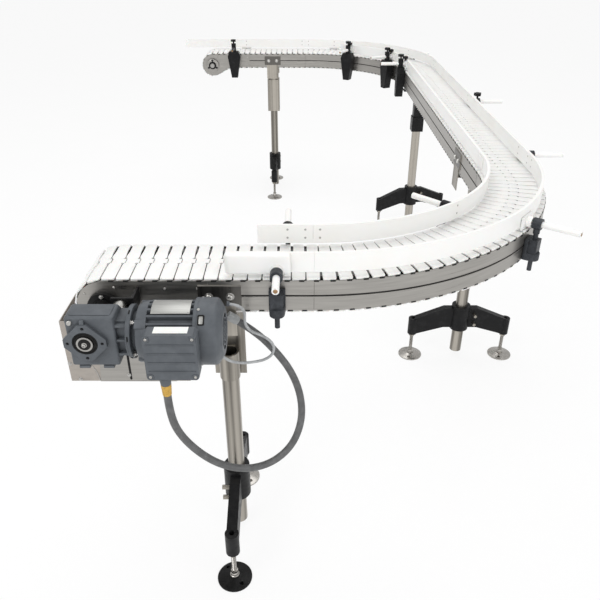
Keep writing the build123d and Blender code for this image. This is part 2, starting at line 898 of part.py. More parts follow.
def make_guards():
    """Trough of flat sheets under the drive end, with a second sheet lapped over its front."""
    left = drive_x - plate_radius - guard_left
    low = frame_bottom - guard_drop
    top = shaft_level - guard_top_drop
    near = near_face - guard_gap - guard_thickness
    far = near_face + frame_width + guard_gap
    edge = left + guard_length
    split = left + guard_split
    inner = left + guard_thickness
    floor = low + guard_thickness
    panels = [box((left, near, floor), (inner, far + guard_thickness, top)),
              box((inner, near, floor), (split + guard_corner, near + guard_thickness, top)),
              box((inner, far, floor), (edge, far + guard_thickness, top)),
              box((left, near, low), (edge, far + guard_thickness, floor))]
    save("drive_guard_trough", *panels)
    plane = Plane(origin=(split, near - guard_gap, low), x_dir=(1, 0, 0), z_dir=(0, -1, 0))
    wide = edge - split
    tall = top - low
    bevel = guard_corner * bevel_share
    points = [(-guard_lip, 0), (wide - guard_corner, 0), (wide - bevel, bevel), (wide, guard_corner),
              (wide, tall), (guard_lip / 2, tall)]
    save("drive_guard_sheet", extrude(plane * make_face(Polyline(*points, close=True)), guard_thickness))


# Stands


def stand_frames():
    """Frames of the four stands on the centreline."""
    return [front.at(head_run), middle.at(second_stand), middle.at(middle.length - third_stand_back), rear.at(fourth_stand)]


def arm_frames():
    """Frames of the stands' bases, with their arms along X."""
    twists = (0, 0, base_twist, 0)
    return [frame * Location((0, 0, 0), (0, 0, 90 + twist)) for frame, twist in zip(stand_frames(), twists)]


def make_stands():
    heads = []
    tubes = []
    bases = []
    bolts = []
    nuts = []
    tube = stand_tube()
    base = stand_base()
    columns = (hanger_column, hanger_column, block_column, sleeve_column)
    for frame, arms, column in zip(stand_frames(), arm_frames(), columns):
        sides = (1,) if column is block_column else (1, -1)
        heads.append(frame * stand_head(sides, column))
        tubes.append(frame * tube)
        bases.append(arms * base)
        bolts.extend(arms * bolt for bolt in clamp_bolts())
        bolts.extend(frame * bolt for bolt in head_bolts(sides))
        nuts.extend(arms * Location((side * foot_span / 2, 0, 0)) * lock_nut() for side in (-1, 1))
    save("middle_stand_head", heads.pop(2))
    save("stand_heads", *heads)
    save("stand_tubes", *tubes)
    save("stand_bases", *bases)
    save("stand_bolts", *bolts)
    save("foot_lock_nuts", *nuts)


def stand_head(sides, column):
    """Cheeks on the rails, a shelf under the return run and the column down to the tube."""
    half = cheek_width / 2
    low = cheek_lower_width / 2
    outline = make_face(Polyline((-half, cheek_top), (half, cheek_top), (half, cheek_shoulder),
                                 (low, cheek_shoulder), (low, cheek_bottom), (-low, cheek_bottom),
                                 (-low, cheek_shoulder), (-half, cheek_shoulder), close=True))
    shelf = frame_bottom - shelf_drop
    head = box((-low, -half_frame, shelf - cheek_thickness), (low, half_frame, shelf))
    for side in sides:
        near = half_frame if side > 0 else -half_frame - cheek_thickness
        plane = Plane(origin=(0, -near, 0), x_dir=(1, 0, 0), z_dir=(0, -1, 0))
        head += extrude(plane * outline, cheek_thickness)
    return head + column(shelf - cheek_thickness)


def standing(outline, low, high):
    """Column of one outline between two levels."""
    return extrude(Location((0, 0, low)) * outline, high - low)


def hanger_column(top):
    """Hanging plate with a ring round the tube."""
    back = tube_radius + base_gap
    half = hanger_width / 2
    plate = box((-half, back, hanger_bottom), (half, back + hanger_thickness, top))
    ring = Circle(back + saddle_wall) - Circle(back)
    return plate + standing(ring, tube_top - saddle_height, tube_top)


def block_column(top):
    """Clamp block round the tube with a narrower box above it."""
    bore = Circle(tube_radius + base_gap)
    column = standing(Rectangle(block_width, block_width) - bore, block_low, block_high)
    return column + standing(Rectangle(block_neck, block_neck), block_high, top)


def sleeve_column(top):
    """Square sleeve round the tube with a round neck above it."""
    bore = Circle(tube_radius + base_gap)
    column = standing(Rectangle(square_width, square_width) - bore, square_low, square_high)
    return column + standing(Circle(sleeve_neck_radius), square_high, top)


def stand_tube():
    """Round tube, open at the top and closed by a foot cap."""
    ring = Circle(tube_radius) - Circle(tube_radius - tube_wall)
    tube = extrude(Location((0, 0, tube_foot)) * ring, tube_top - tube_foot)
    return tube + extrude(Location((0, 0, tube_foot)) * Circle(tube_radius), tube_wall)


def stand_base():
    """Two-armed base with a split collar, its arms along X."""
    reach = foot_span / 2
    mid = base_middle_reach
    points = [(-reach, base_end_low), (-mid, base_middle_low), (mid, base_middle_low), (reach, base_end_low),
              (reach, base_end_high), (mid, base_middle_high), (-mid, base_middle_high), (-reach, base_end_high)]
    plane = Plane(origin=(0, base_arm_thickness / 2, 0), x_dir=(1, 0, 0), z_dir=(0, -1, 0))
    base = extrude(plane * make_face(Polyline(*points, close=True)), base_arm_thickness)
    collar = base_collar_high - base_collar_low
    base += extrude(Location((0, 0, base_collar_low)) * Circle(base_collar_radius), collar)
    for side in (-1, 1):
        boss = Location((side * reach, 0, base_end_low)) * Circle(base_boss_radius)
        base += extrude(boss, base_end_high - base_end_low)
        hole = Location((side * reach, 0, base_end_low)) * Circle(spindle_radius + seat_gap)
        base -= extrude(hole, overrun)
    bore = Location((0, 0, base_collar_low)) * Circle(tube_radius + base_gap)
    return base - extrude(bore, collar)


def bolt_head(point, direction, length):
    """Hexagon bolt head standing on a face."""
    plane = Plane(origin=point, z_dir=direction)
    return extrude(plane * RegularPolygon(stand_bolt_radius, 6), length)


def clamp_bolts():
    """The two bolts that close the collar, on the front of the base."""
    middle_height = (base_middle_low + base_middle_high) / 2
    bolts = []
    for side in (-1, 1):
        level = middle_height + side * clamp_bolt_spread / 2
        point = (-clamp_bolt_offset, base_arm_thickness / 2, level)
        bolts.append(bolt_head(point, (0, 1, 0), clamp_bolt_reach))
    return bolts


def head_bolts(sides):
    """Bolts through the cheeks into the rails' grooves."""
    bolts = []
    for side in sides:
        for hand in (-1, 1):
            point = (hand * stand_bolt_spread / 2, -side * (half_frame + cheek_thickness), groove_level)
            bolts.append(bolt_head(point, (0, -side, 0), stand_bolt_height))
    return bolts


def lock_nut():
    """Hexagon nut under the arm's boss."""
    ring = RegularPolygon(nut_radius, 6) - Circle(spindle_radius + seat_gap)
    return extrude(Location((0, 0, base_end_low - nut_height)) * ring, nut_height)


def make_foot():
    """Levelling foot: domed disc, ball and threaded spindle."""
    stations = [(0, foot_radius), (foot_rim, foot_radius), (foot_dome, foot_dome_radius),
                (foot_dome + seat_gap, ball_radius), (ball_top, ball_radius),
                (ball_top + seat_gap, spindle_radius), (spindle_top, spindle_radius)]
    return turned((0, 0, 0), (0, 0, 1), stations, foot_sides)


def make_feet():
    names = ("drive_stand", "bend_stand", "middle_stand", "idler_stand")
    foot = make_foot()
    for name, arms in zip(names, arm_frames()):
        for side, word in ((-1, "outer"), (1, "inner")):
            save(f"{name}_foot_{word}", arms * Location((side * foot_span / 2, 0, 0)) * foot)


# Guide rails and their brackets


def guide_outline(side):
    """Section of a guide rail; side is 1 outside the bends."""
    low = belt_height + guide_lift
    near = outer_guide_face if side > 0 else inner_guide_face
    far = near + guide_thickness
    points = [(near, low), (far, low), (far, low + guide_height), (near, low + guide_height)]
    return [(side * outward, height) for outward, height in points]


def make_guide(side, begins, ends):
    """One guide rail in sections, butted where the legs meet."""
    sections = []
    for leg, begin, end in zip(legs, begins, ends):
        sections.append(leg.bar(guide_outline(side), begin + joint_gap / 2, end - joint_gap / 2))
    return sections


def make_guides():
    begins = (outer_guide_start, 0.0, 0.0, 0.0, 0.0)
    ends = (front.length, bend_length, middle_run, bend_length, rear.length + outer_guide_overrun)
    save("outer_guide", *make_guide(1, begins, ends))
    begins = (inner_guide_start, 0.0, 0.0, 0.0)
    ends = (front.length, bend_length, middle_run, bend_length * inner_guide_end_share)
    save("inner_guide", *make_guide(-1, begins, ends))


class Mounting:
    """Place of a guide bracket: a frame on the centreline and the side it is on."""

    def __init__(self, leg, distance, side):
        self.frame = leg.at(distance)
        self.side = side
        self.hollow = leg.curved and side < 0
        self.guide_back = guide_thickness + (outer_guide_face if side > 0 else inner_guide_face)
        self.rod_level = rod_level - (outer_rod_drop if side > 0 else 0)

    def seat(self, half_width, face=None):
        """Outward distance at which a flat back of some width meets a face, by itself the rail's."""
        face = half_frame if face is None else face
        if not self.hollow:
            return face
        radius = bend_radius - face
        return face + radius - math.sqrt(radius ** 2 - half_width ** 2)

    def block(self, low, high):
        """Block between (along, outward, height) corners."""
        ys = sorted((-self.side * low[1], -self.side * high[1]))
        return self.frame * box((low[0], ys[0], low[2]), (high[0], ys[1], high[2]))

    def sheet(self, outline, near, far):
        """Plate with an (along, height) outline between two outward distances."""
        plane = Plane(origin=(0, -self.side * near, 0), x_dir=(1, 0, 0), z_dir=(0, -1, 0))
        face = make_face(Polyline(*outline, close=True))
        return self.frame * extrude(plane * face, self.side * (far - near))

    def slab(self, outline, begin, end):
        """Block with an (outward, height) outline between two places along the leg."""
        points = [(-self.side * outward, height) for outward, height in outline]
        face = Plane.YZ * make_face(Polyline(*points, close=True))
        return self.frame * Location((begin, 0, 0)) * extrude(face, end - begin)

    def cross_bar(self, start, end, level, radius):
        """Round bar pointing outward."""
        return self.frame * rod((0, -self.side * start, level), (0, -self.side, 0), end - start, radius)

    def upright(self, offset, low, high, radius):
        """Round bar standing up."""
        return self.frame * rod((0, -self.side * offset, low), (0, 0, 1), high - low, radius)


rod_level = belt_height + guide_lift + guide_height / 2
rod_start = post_offset - ring_length / 2 - carrier_boss_gap
post_bore = post_radius + post_fit
tall_top = rod_level - tall_rod_gap
tall_shoulder = tall_top - tall_slope
tall_bottom = tall_top - tall_height
tall_neck_top = rod_level + tall_neck_rise


def rod_and_carrier(place, length):
    """Cross rod and the plate with a round boss that holds the guide rail on its end."""
    level = place.rod_level
    half = carrier_length / 2
    near = place.seat(half, place.guide_back) + seat_gap
    far = near + carrier_thickness
    carrier = place.block((-half, near, level - carrier_height / 2), (half, far, level + carrier_height / 2))
    carrier += place.cross_bar(near, rod_start - seat_gap, level, carrier_boss_radius)
    return [carrier, place.cross_bar(rod_start, rod_start + length, level, rod_radius)]


def low_bracket(place):
    """Clamp on the rail round a sliding post: gusseted back, two jaws and a cap."""
    half = bracket_width / 2
    low = groove_level - bracket_height / 2
    high = groove_level + bracket_height / 2
    near = post_offset - post_bore
    far = post_offset + post_bore
    root = place.seat(half)
    back = [(root, low - bracket_root_drop), (near, low), (near, high), (root, high)]
    return [place.slab(back, -half, half),
            place.block((-half, near, low), (-post_bore, far, high)),
            place.block((post_bore, near, low), (half, far, high)),
            place.block((-half, far, low), (half, far + bracket_wall, high))]


def low_post(place):
    """Post and the clamp ring on top of it."""
    half = ring_length / 2
    level = place.rod_level
    low = level - ring_stem_drop
    head = place.cross_bar(post_offset - half, post_offset + half, level, ring_radius)
    head += place.upright(post_offset, low, level, ring_stem_radius)
    head -= place.cross_bar(half_frame, post_offset + frame_width, level, rod_radius + seat_gap)
    return [place.upright(post_offset, post_low, low, post_radius), head]


def tall_back(place):
    """Outward distance of a tall bracket's back, clear of the guide rail by its disc."""
    return place.seat(disc_radius) + disc_thickness


def tall_offset(place):
    """Outward distance of a tall bracket's post."""
    return tall_back(place) + tall_depth / 2


def tall_bracket(place):
    """Moulded bracket in two halves with a web before and behind its post."""
    wide = tall_width_low / 2
    near = tall_back(place)
    far = near + tall_depth
    middle_depth = tall_offset(place)
    pieces = []
    for hand in (-1, 1):
        outline = [(hand * post_bore, tall_bottom), (hand * tall_width_bottom / 2, tall_bottom),
                   (hand * wide, tall_shoulder), (hand * tall_width_high / 2, tall_top),
                   (hand * post_bore, tall_top)]
        pieces.append(place.sheet(outline, near, far))
    for start, end in ((near, middle_depth - post_bore), (middle_depth + post_bore, far)):
        pieces.append(place.block((-post_bore, start, tall_bottom), (post_bore, end, tall_top)))
    return pieces


def tall_post(place):
    """Post and neck that carry the cross rod of a tall bracket."""
    offset = tall_offset(place)
    low = tall_top + seat_gap
    neck = place.upright(offset, low, tall_neck_top, tall_neck_radius)
    neck -= place.cross_bar(half_frame, offset + frame_width, rod_level, rod_radius + seat_gap)
    return [place.upright(offset, post_low, low, post_radius), neck]


def back_disc(place):
    """Steel disc between the rail and a tall bracket."""
    return place.cross_bar(place.seat(disc_radius), tall_back(place), groove_level, disc_radius)


def make_knob(place, offset, level):
    """Lobed knob on a stem, above a level."""
    points = []
    for index in range(2 * knob_lobes):
        radius = knob_radius if index % 2 == 0 else knob_radius * knob_lobe_share
        angle = math.pi * index / knob_lobes
        points.append((radius * math.cos(angle), radius * math.sin(angle)))
    head = extrude(make_face(Polyline(*points, close=True)), knob_height)
    knob = Location((0, 0, knob_stem_length)) * head
    knob += extrude(RegularPolygon(knob_stem_radius, 6), knob_stem_length)
    return place.frame * Location((0, -place.side * offset, level + seat_gap)) * knob


def arc_share(share):
    """Distance along a bend at a share of its length."""
    return bend_length * share


def make_brackets():
    """Every guide bracket, the posts and rods they carry, and their knobs."""
    outer = [Mounting(front, outer_bracket_start, 1), Mounting(first_bend, arc_share(outer_bend_share), 1),
             Mounting(middle, outer_bracket_middle, 1), Mounting(middle, middle.length * outer_knob_share, 1),
             Mounting(second_bend, arc_share(outer_second_share), 1),
             Mounting(second_bend, arc_share(outer_third_share), 1),
             Mounting(rear, outer_bracket_end, 1)]
    inner = [Mounting(front, inner_bracket_start, -1), Mounting(first_bend, arc_share(inner_bend_share), -1)]
    tall = [Mounting(second_bend, arc_share(share), -1) for share in tall_bracket_shares]
    end = Mounting(rear, end_bracket, -1)
    brackets = []
    for place in outer + inner:
        brackets.extend(low_bracket(place))
    brackets.extend(back_disc(place) for place in tall + [end])
    brackets.append(end.cross_bar(rod_start, rod_start + rod_length, rod_level, rod_radius))
    save("guide_brackets", *brackets)
    moulded = tall_post(end)
    for place in tall + [end]:
        moulded.extend(tall_bracket(place))
    save("moulded_brackets", *moulded)
    save("outer_guide_posts", *[piece for place in outer for piece in low_post(place)])
    rods = rod_and_carrier(outer[0], front_rod_length)
    rods.extend(piece for place in outer[1:] for piece in rod_and_carrier(place, rod_length))
    save("outer_guide_rods", *rods)
    carried = [piece for place in inner for piece in low_post(place)]
    carried.extend(piece for place in tall for piece in tall_post(place))
    save("inner_guide_posts", *carried)
    rods = [piece for place in inner + tall for piece in rod_and_carrier(place, rod_length)]
    save("inner_guide_rods", *rods)
    for name, place in zip(("start", "quarter", "end"), tall):
        save(f"bend_{name}_knob", make_knob(place, tall_offset(place), tall_neck_top))
    save("idler_knob", make_knob(end, tall_offset(end), tall_neck_top))
    save("middle_leg_knob", make_knob(outer[3], post_offset, outer[3].rod_level + ring_radius))


# Cords


def cord(route, diameter, sides):
    """Cord along a route of straight runs joined by tangent arcs."""
    radii = []
    for before, corner, after in zip(route, route[1:], route[2:]):
        arriving = Vector(*corner) - Vector(*before)
        leaving = Vector(*after) - Vector(*corner)
        turn = math.radians(arriving.get_angle(leaving))
        run = min(arriving.length, leaving.length)
        radii.append(cord_bend_share * run / math.tan(turn / 2))
    path = FilletPolyline(*route, radius=radii)
    section = Plane(origin=path @ 0, z_dir=path % 0) * RegularPolygon(diameter / 2, sides)
    tube = sweep(section, path=path)
    print("bend radii", [round(radius, 1) for radius in radii], "length", round(path.length, 1))
    print("volume", round(tube.volume), "section times length", round(section.area * path.length))
    return tube


def make_cords():
    save("motor_conduit", cord(conduit_route, conduit_diameter, conduit_sides))
    save("fan_cover_lead", cord(lead_route, lead_diameter, lead_sides))
    run = Vector(*conduit_route[-1]) - Vector(*conduit_route[-2])
    stations = [(0, conduit_diameter / 2), (sleeve_lead, sleeve_radius), (sleeve_length, sleeve_radius)]
    save("conduit_sleeve", turned(conduit_route[-1], run, stations, 2 * lead_sides))


os.makedirs("parts", exist_ok=True)
make_chain()
make_frame()
make_running_surfaces()
make_shafts()
make_motor()
make_torque_arm()
make_guards()
make_stands()
make_feet()
make_guides()
make_brackets()
make_cords()
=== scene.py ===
"""Looks of the U-shaped slat-chain conveyor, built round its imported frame."""

import json
import math

import bmesh
import bpy
from mathutils import Matrix, Vector


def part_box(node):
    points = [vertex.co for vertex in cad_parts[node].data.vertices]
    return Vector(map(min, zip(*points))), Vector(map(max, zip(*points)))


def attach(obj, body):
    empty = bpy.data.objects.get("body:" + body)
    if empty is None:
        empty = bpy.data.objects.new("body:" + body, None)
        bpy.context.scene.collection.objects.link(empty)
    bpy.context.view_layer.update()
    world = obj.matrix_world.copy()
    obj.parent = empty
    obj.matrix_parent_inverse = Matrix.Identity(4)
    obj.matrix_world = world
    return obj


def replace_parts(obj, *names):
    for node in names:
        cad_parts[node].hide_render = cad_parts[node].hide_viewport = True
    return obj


bl_info = {
    "name": "Slat Chain Conveyor",
    "version": (1, 0, 0),
    "blender": (4, 5, 0),
    "location": "View3D > Sidebar > Conveyor",
    "description": "Adds the looks of a U-shaped slat-chain conveyor to its frame",
    "category": "Object",
}

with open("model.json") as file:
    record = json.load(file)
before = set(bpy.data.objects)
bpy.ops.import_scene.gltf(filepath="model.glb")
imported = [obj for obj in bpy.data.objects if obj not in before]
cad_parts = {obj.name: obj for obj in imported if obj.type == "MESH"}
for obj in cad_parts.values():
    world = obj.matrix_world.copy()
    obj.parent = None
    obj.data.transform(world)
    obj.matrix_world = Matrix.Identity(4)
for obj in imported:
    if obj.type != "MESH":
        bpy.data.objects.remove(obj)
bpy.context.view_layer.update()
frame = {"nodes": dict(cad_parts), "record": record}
nodes = frame["nodes"]

# The conveyor's own places, in metres
front_line = 0.220
drive_x = -0.307
front_end = 0.248
middle_run = 1.915
rear_run = 0.6625453
bend_radius = 0.725
half_frame = 0.105
shaft_level = 0.9603965
groove_level = 0.9893075
gearbox_face = -0.065
motor_line = -0.0075
middle_x = front_end + bend_radius
bend_length = bend_radius * math.pi / 2
leg_lengths = (front_end - drive_x, bend_length, middle_run, bend_length, rear_run)
chain_pitch = 0.0381
chain_width = 0.206
slat_outer, slat_middle, slat_inner = 0.0350, 0.0356, 0.0310
slat_top = 0.006
slat_low = 0.002
tab_low = 0.0004
pin_level = 1.034
return_level = 0.944615
sprocket_radius = 0.073604
slat_seat = 1.034
rail_foot = 0.944615
guide_low = 1.052
outer_rod_level = 1.062
inner_rod_level = 1.0795
rod_low = 0.112
gearbox_middle = -0.2922
gearbox_top = 1.0284
adapter_start = -0.2072
cover_start = -0.0432
lid_face = -0.1331
lid_corners = [(x, z) for x in (-0.1407, -0.0347) for z in (0.9124, 1.0184)]
bearing_bolt_circle = 0.033
stand_places = ((0, 0.307, (1, -1)), (2, 0.310, (1, -1)), (2, 1.900, (1,)), (4, 0.233, (1, -1)))
rear_line = front_line + 2 * bend_radius + middle_run


# Route of the chain, in the same legs as the frame


def station(leg, distance, outward=0.0, height=0.0):
    """Frame on a leg: X along the travel, Y to its left, moved outward to the right."""
    quarter = bend_radius * math.pi / 2
    if leg == 0:
        turn, x, y = 0.0, drive_x + distance, front_line
    elif leg == 2:
        turn, x, y = math.pi / 2, middle_x, front_line + bend_radius + distance
    elif leg == 4:
        turn, x, y = math.pi, front_end - distance, rear_line
    else:
        share = distance / quarter
        turn = share * math.pi / 2 + (math.pi / 2 if leg == 3 else 0.0)
        centre_y = front_line + bend_radius + (middle_run if leg == 3 else 0.0)
        x = front_end + bend_radius * math.sin(turn)
        y = centre_y - bend_radius * math.cos(turn)
    spin = Matrix.Rotation(turn, 4, "Z")
    return Matrix.Translation((x, y, height)) @ spin @ Matrix.Translation((0, -outward, 0))


# Materials


class Finish:
    """A Principled material with noise, wear, painted shade in the corners and bump added to it."""

    def __init__(self, name, roughness=0.5, metallic=0.0):
        self.material = bpy.data.materials.new(name)
        self.material.use_nodes = True
        self.tree = self.material.node_tree
        self.surface = self.tree.nodes["Principled BSDF"]
        self.surface.inputs["Roughness"].default_value = roughness
        self.surface.inputs["Metallic"].default_value = metallic
        self.place = self.tree.nodes.new("ShaderNodeTexCoord")
        self.normal = None

    def add(self, kind, **values):
        """Add a node and set its properties and sockets by name."""
        node = self.tree.nodes.new(kind)
        for key, value in values.items():
            name = key.replace("_", " ")
            found = [s for s in node.inputs if s.name.lower() == name and s.enabled]
            if found:
                found[0].default_value = value
            else:
                setattr(node, key, value)
        return node

    def link(self, start, end):
        self.tree.links.new(start, end)

    def noise(self, scale, detail=4.0, stretch=(1, 1, 1), rough=0.55):
        """Noise in the object's own space, stretched along an axis."""
        mapping = self.add("ShaderNodeMapping")
        mapping.inputs["Scale"].default_value = stretch
        self.link(self.place.outputs["Object"], mapping.inputs["Vector"])
        node = self.add("ShaderNodeTexNoise", scale=scale, detail=detail, roughness=rough)
        self.link(mapping.outputs["Vector"], node.inputs["Vector"])
        return node.outputs["Fac"]

    def ramp(self, factor, low, high, start=0.0, end=1.0):
        """Turn a factor into another range."""
        node = self.add("ShaderNodeMapRange")
        for name, value in (("From Min", low), ("From Max", high), ("To Min", start), ("To Max", end)):
            node.inputs[name].default_value = value
        self.link(factor, node.inputs["Value"])
        return node.outputs["Result"]

    def times(self, first, second):
        node = self.add("ShaderNodeMath", operation="MULTIPLY")
        for socket, value in zip(node.inputs, (first, second)):
            if isinstance(value, (int, float)):
                socket.default_value = value
            else:
                self.link(value, socket)
        return node.outputs["Value"]

    def mix(self, factor, first, second):
        """Blend two colours or sockets by a factor."""
        node = self.add("ShaderNodeMix", data_type="RGBA")
        self.link(factor, node.inputs["Factor"])
        for name, value in (("A", first), ("B", second)):
            socket = [s for s in node.inputs if s.name == name and s.type == "RGBA"][0]
            if isinstance(value, (tuple, list)):
                socket.default_value = (*value[:3], 1.0)
            else:
                self.link(value, socket)
        return [s for s in node.outputs if s.type == "RGBA"][0]

    def colour(self, socket):
        self.link(socket, self.surface.inputs["Base Color"])
        return self

    def roughness(self, socket):
        self.link(socket, self.surface.inputs["Roughness"])
        return self

    def bump(self, height, strength, distance):
        """Stack a bump on the ones before."""
        node = self.add("ShaderNodeBump", strength=strength, distance=distance)
        self.link(height, node.inputs["Height"])
        if self.normal:
            self.link(self.normal, node.inputs["Normal"])
        self.normal = node.outputs["Normal"]
        self.link(self.normal, self.surface.inputs["Normal"])
        return self

    def soft_edges(self, radius):
        """Round the sharp edges a little in the shading."""
        node = self.add("ShaderNodeBevel", radius=radius)
        node.samples = 4
        self.normal = node.outputs["Normal"]
        self.link(self.normal, self.surface.inputs["Normal"])
        return self

    def corner_shade(self, reach, colour, base, strength=0.6):
        """Painted shade: darken a base colour towards a colour in corners and creases by ambient occlusion,
        patchy by noise.
        """
        node = self.add("ShaderNodeAmbientOcclusion", distance=reach)
        node.samples = 6
        corner = self.ramp(node.outputs["AO"], 0.25, 0.9, strength, 0.0)
        return self.mix(self.times(corner, self.ramp(self.noise(40, 5), 0.3, 0.7, 0.4, 1.0)), base, colour)


def white_plastic(name, tone, roughness):
    """Moulded white plastic with light scuffs and painted shade darkening the gaps."""
    finish = Finish(name, roughness).soft_edges(0.0006)
    shade = finish.ramp(finish.noise(9, 5), 0.35, 0.7)
    warm = tuple(c * f for c, f in zip(tone, (0.985, 0.975, 0.955)))
    base = finish.mix(shade, tone, warm)
    # Painted shade: ambient occlusion darkens the gaps and corners with a brownish grey.
    finish.colour(finish.corner_shade(0.004, (0.22, 0.20, 0.17), base, 0.45))
    mottle = finish.noise(60, 6, (1, 1, 1), 0.7)
    finish.roughness(finish.ramp(mottle, 0.35, 0.7, roughness - 0.08, roughness + 0.12))
    finish.bump(finish.noise(420, 3), 0.08, 0.0003)
    finish.surface.inputs["Subsurface Weight"].default_value = 0.05
    finish.surface.inputs["Subsurface Scale"].default_value = 0.002
    return finish.material


def brushed_steel(name, tone, roughness, stretch, fine=160.0):
    """Brushed stainless steel with streaks along one direction and faint smears."""
    finish = Finish(name, roughness, 1.0).soft_edges(0.0005)
    streaks = finish.noise(fine, 6, stretch, 0.65)
    smears = finish.noise(7, 4)
    dark = tuple(c * 0.72 for c in tone)
    base = finish.mix(finish.ramp(streaks, 0.3, 0.75), dark, tone)
    cloudy = tuple(c * 0.86 for c in tone)
    finish.colour(finish.mix(finish.ramp(smears, 0.45, 0.7, 0.0, 0.5), base, cloudy))
    finish.roughness(finish.ramp(streaks, 0.3, 0.7, roughness - 0.07, roughness + 0.11))
    finish.bump(streaks, 0.12, 0.0002)
    return finish.material


def streaked_steel(name, tone):
    """Stainless tube with dark upright bands painted in as the reflection of a room, and fine upright
    scratches.
    """
    finish = Finish(name, 0.34, 1.0).soft_edges(0.0005)
    # Painted reflection: dark and pale upright bands for the room that the tube mirrors.
    bands = finish.noise(38, 2, (1, 1, 0.006), 0.5)
    scratches = finish.noise(190, 6, (1, 1, 0.03), 0.65)
    pale = tuple(min(1.0, c * 1.3) for c in tone)
    dark = tuple(c * 0.26 for c in tone)
    base = finish.mix(finish.ramp(bands, 0.36, 0.60), dark, pale)
    finish.colour(finish.mix(finish.ramp(scratches, 0.3, 0.75, 0.0, 0.55), base, tone))
    finish.roughness(finish.ramp(scratches, 0.3, 0.7, 0.26, 0.44))
    finish.bump(scratches, 0.12, 0.0002)
    return finish.material


def cast_paint(name, tone, roughness, grain=260.0):
    """Painted casting: fine orange peel, faint dust and painted shade darkening its corners."""
    finish = Finish(name, roughness).soft_edges(0.0016)
    finish.surface.inputs["Specular IOR Level"].default_value = 0.25
    dust = tuple(min(1.0, c * 1.28 + 0.012) for c in tone)
    base = finish.mix(finish.ramp(finish.noise(22, 6, (1, 1, 1), 0.65), 0.42, 0.7, 0.0, 0.7), tone, dust)
    # Painted shade: a darker tone in the corners, by ambient occlusion.
    deep = tuple(c * 0.45 for c in tone)
    finish.colour(finish.corner_shade(0.012, deep, base, 0.7))
    finish.roughness(finish.ramp(finish.noise(35, 5), 0.3, 0.7, roughness - 0.06, roughness + 0.14))
    finish.bump(finish.noise(grain, 4), 0.16, 0.0005)
    finish.bump(finish.noise(38, 2), 0.08, 0.0012)
    return finish.material


def black_nylon(name, tone=(0.0075, 0.0075, 0.008), roughness=0.4):
    """Glass-filled black plastic with a fine grain and greyed high spots."""
    finish = Finish(name, roughness).soft_edges(0.001)
    finish.surface.inputs["Specular IOR Level"].default_value = 0.18
    worn = tuple(c * 2.1 + 0.006 for c in tone)
    finish.colour(finish.mix(finish.ramp(finish.noise(28, 6, (1, 1, 1), 0.7), 0.48, 0.74, 0.0, 0.8), tone,
                             worn))
    finish.roughness(finish.ramp(finish.noise(70, 4), 0.3, 0.7, roughness - 0.1, roughness + 0.12))
    finish.bump(finish.noise(900, 2), 0.14, 0.0002)
    return finish.material


def flat_paint(name, tone, roughness):
    """Thin satin paint on sheet metal with faint rubs."""
    finish = Finish(name, roughness).soft_edges(0.0004)
    rub = tuple(c * 0.84 for c in tone)
    finish.colour(finish.mix(finish.ramp(finish.noise(14, 6, (1, 1, 3), 0.7), 0.45, 0.72), tone, rub))
    finish.roughness(finish.ramp(finish.noise(50, 5), 0.3, 0.7, roughness - 0.08, roughness + 0.1))
    finish.bump(finish.noise(300, 3), 0.1, 0.0002)
    return finish.material


def sheathing(name, tone, roughness, ribs):
    """Flexible plastic sheath with fine ribs and rubbed patches."""
    finish = Finish(name, roughness)
    lift = tuple(min(1.0, c * 1.35 + 0.01) for c in tone)
    finish.colour(finish.mix(finish.ramp(finish.noise(45, 5), 0.42, 0.7), tone, lift))
    finish.roughness(finish.ramp(finish.noise(80, 3), 0.3, 0.7, roughness - 0.08, roughness + 0.12))
    finish.bump(finish.noise(ribs, 3), 0.22, 0.0004)
    return finish.material


def yellow_band(name):
    """Yellow moulded collar with rows of small holes, painted dark as their shade."""
    finish = Finish(name, 0.5)
    dots = finish.add("ShaderNodeTexVoronoi", scale=230.0)
    finish.link(finish.place.outputs["Object"], dots.inputs["Vector"])
    # Painted shade: the holes are coloured dark brown.
    hole_shade = finish.ramp(dots.outputs["Distance"], 0.16, 0.24, 1.0, 0.0)
    base = finish.mix(finish.ramp(finish.noise(60, 4), 0.4, 0.7), (0.60, 0.36, 0.055), (0.46, 0.27, 0.05))
    finish.colour(finish.mix(hole_shade, base, (0.10, 0.06, 0.02)))
    finish.bump(finish.ramp(dots.outputs["Distance"], 0.16, 0.3), 0.4, 0.0005)
    return finish.material


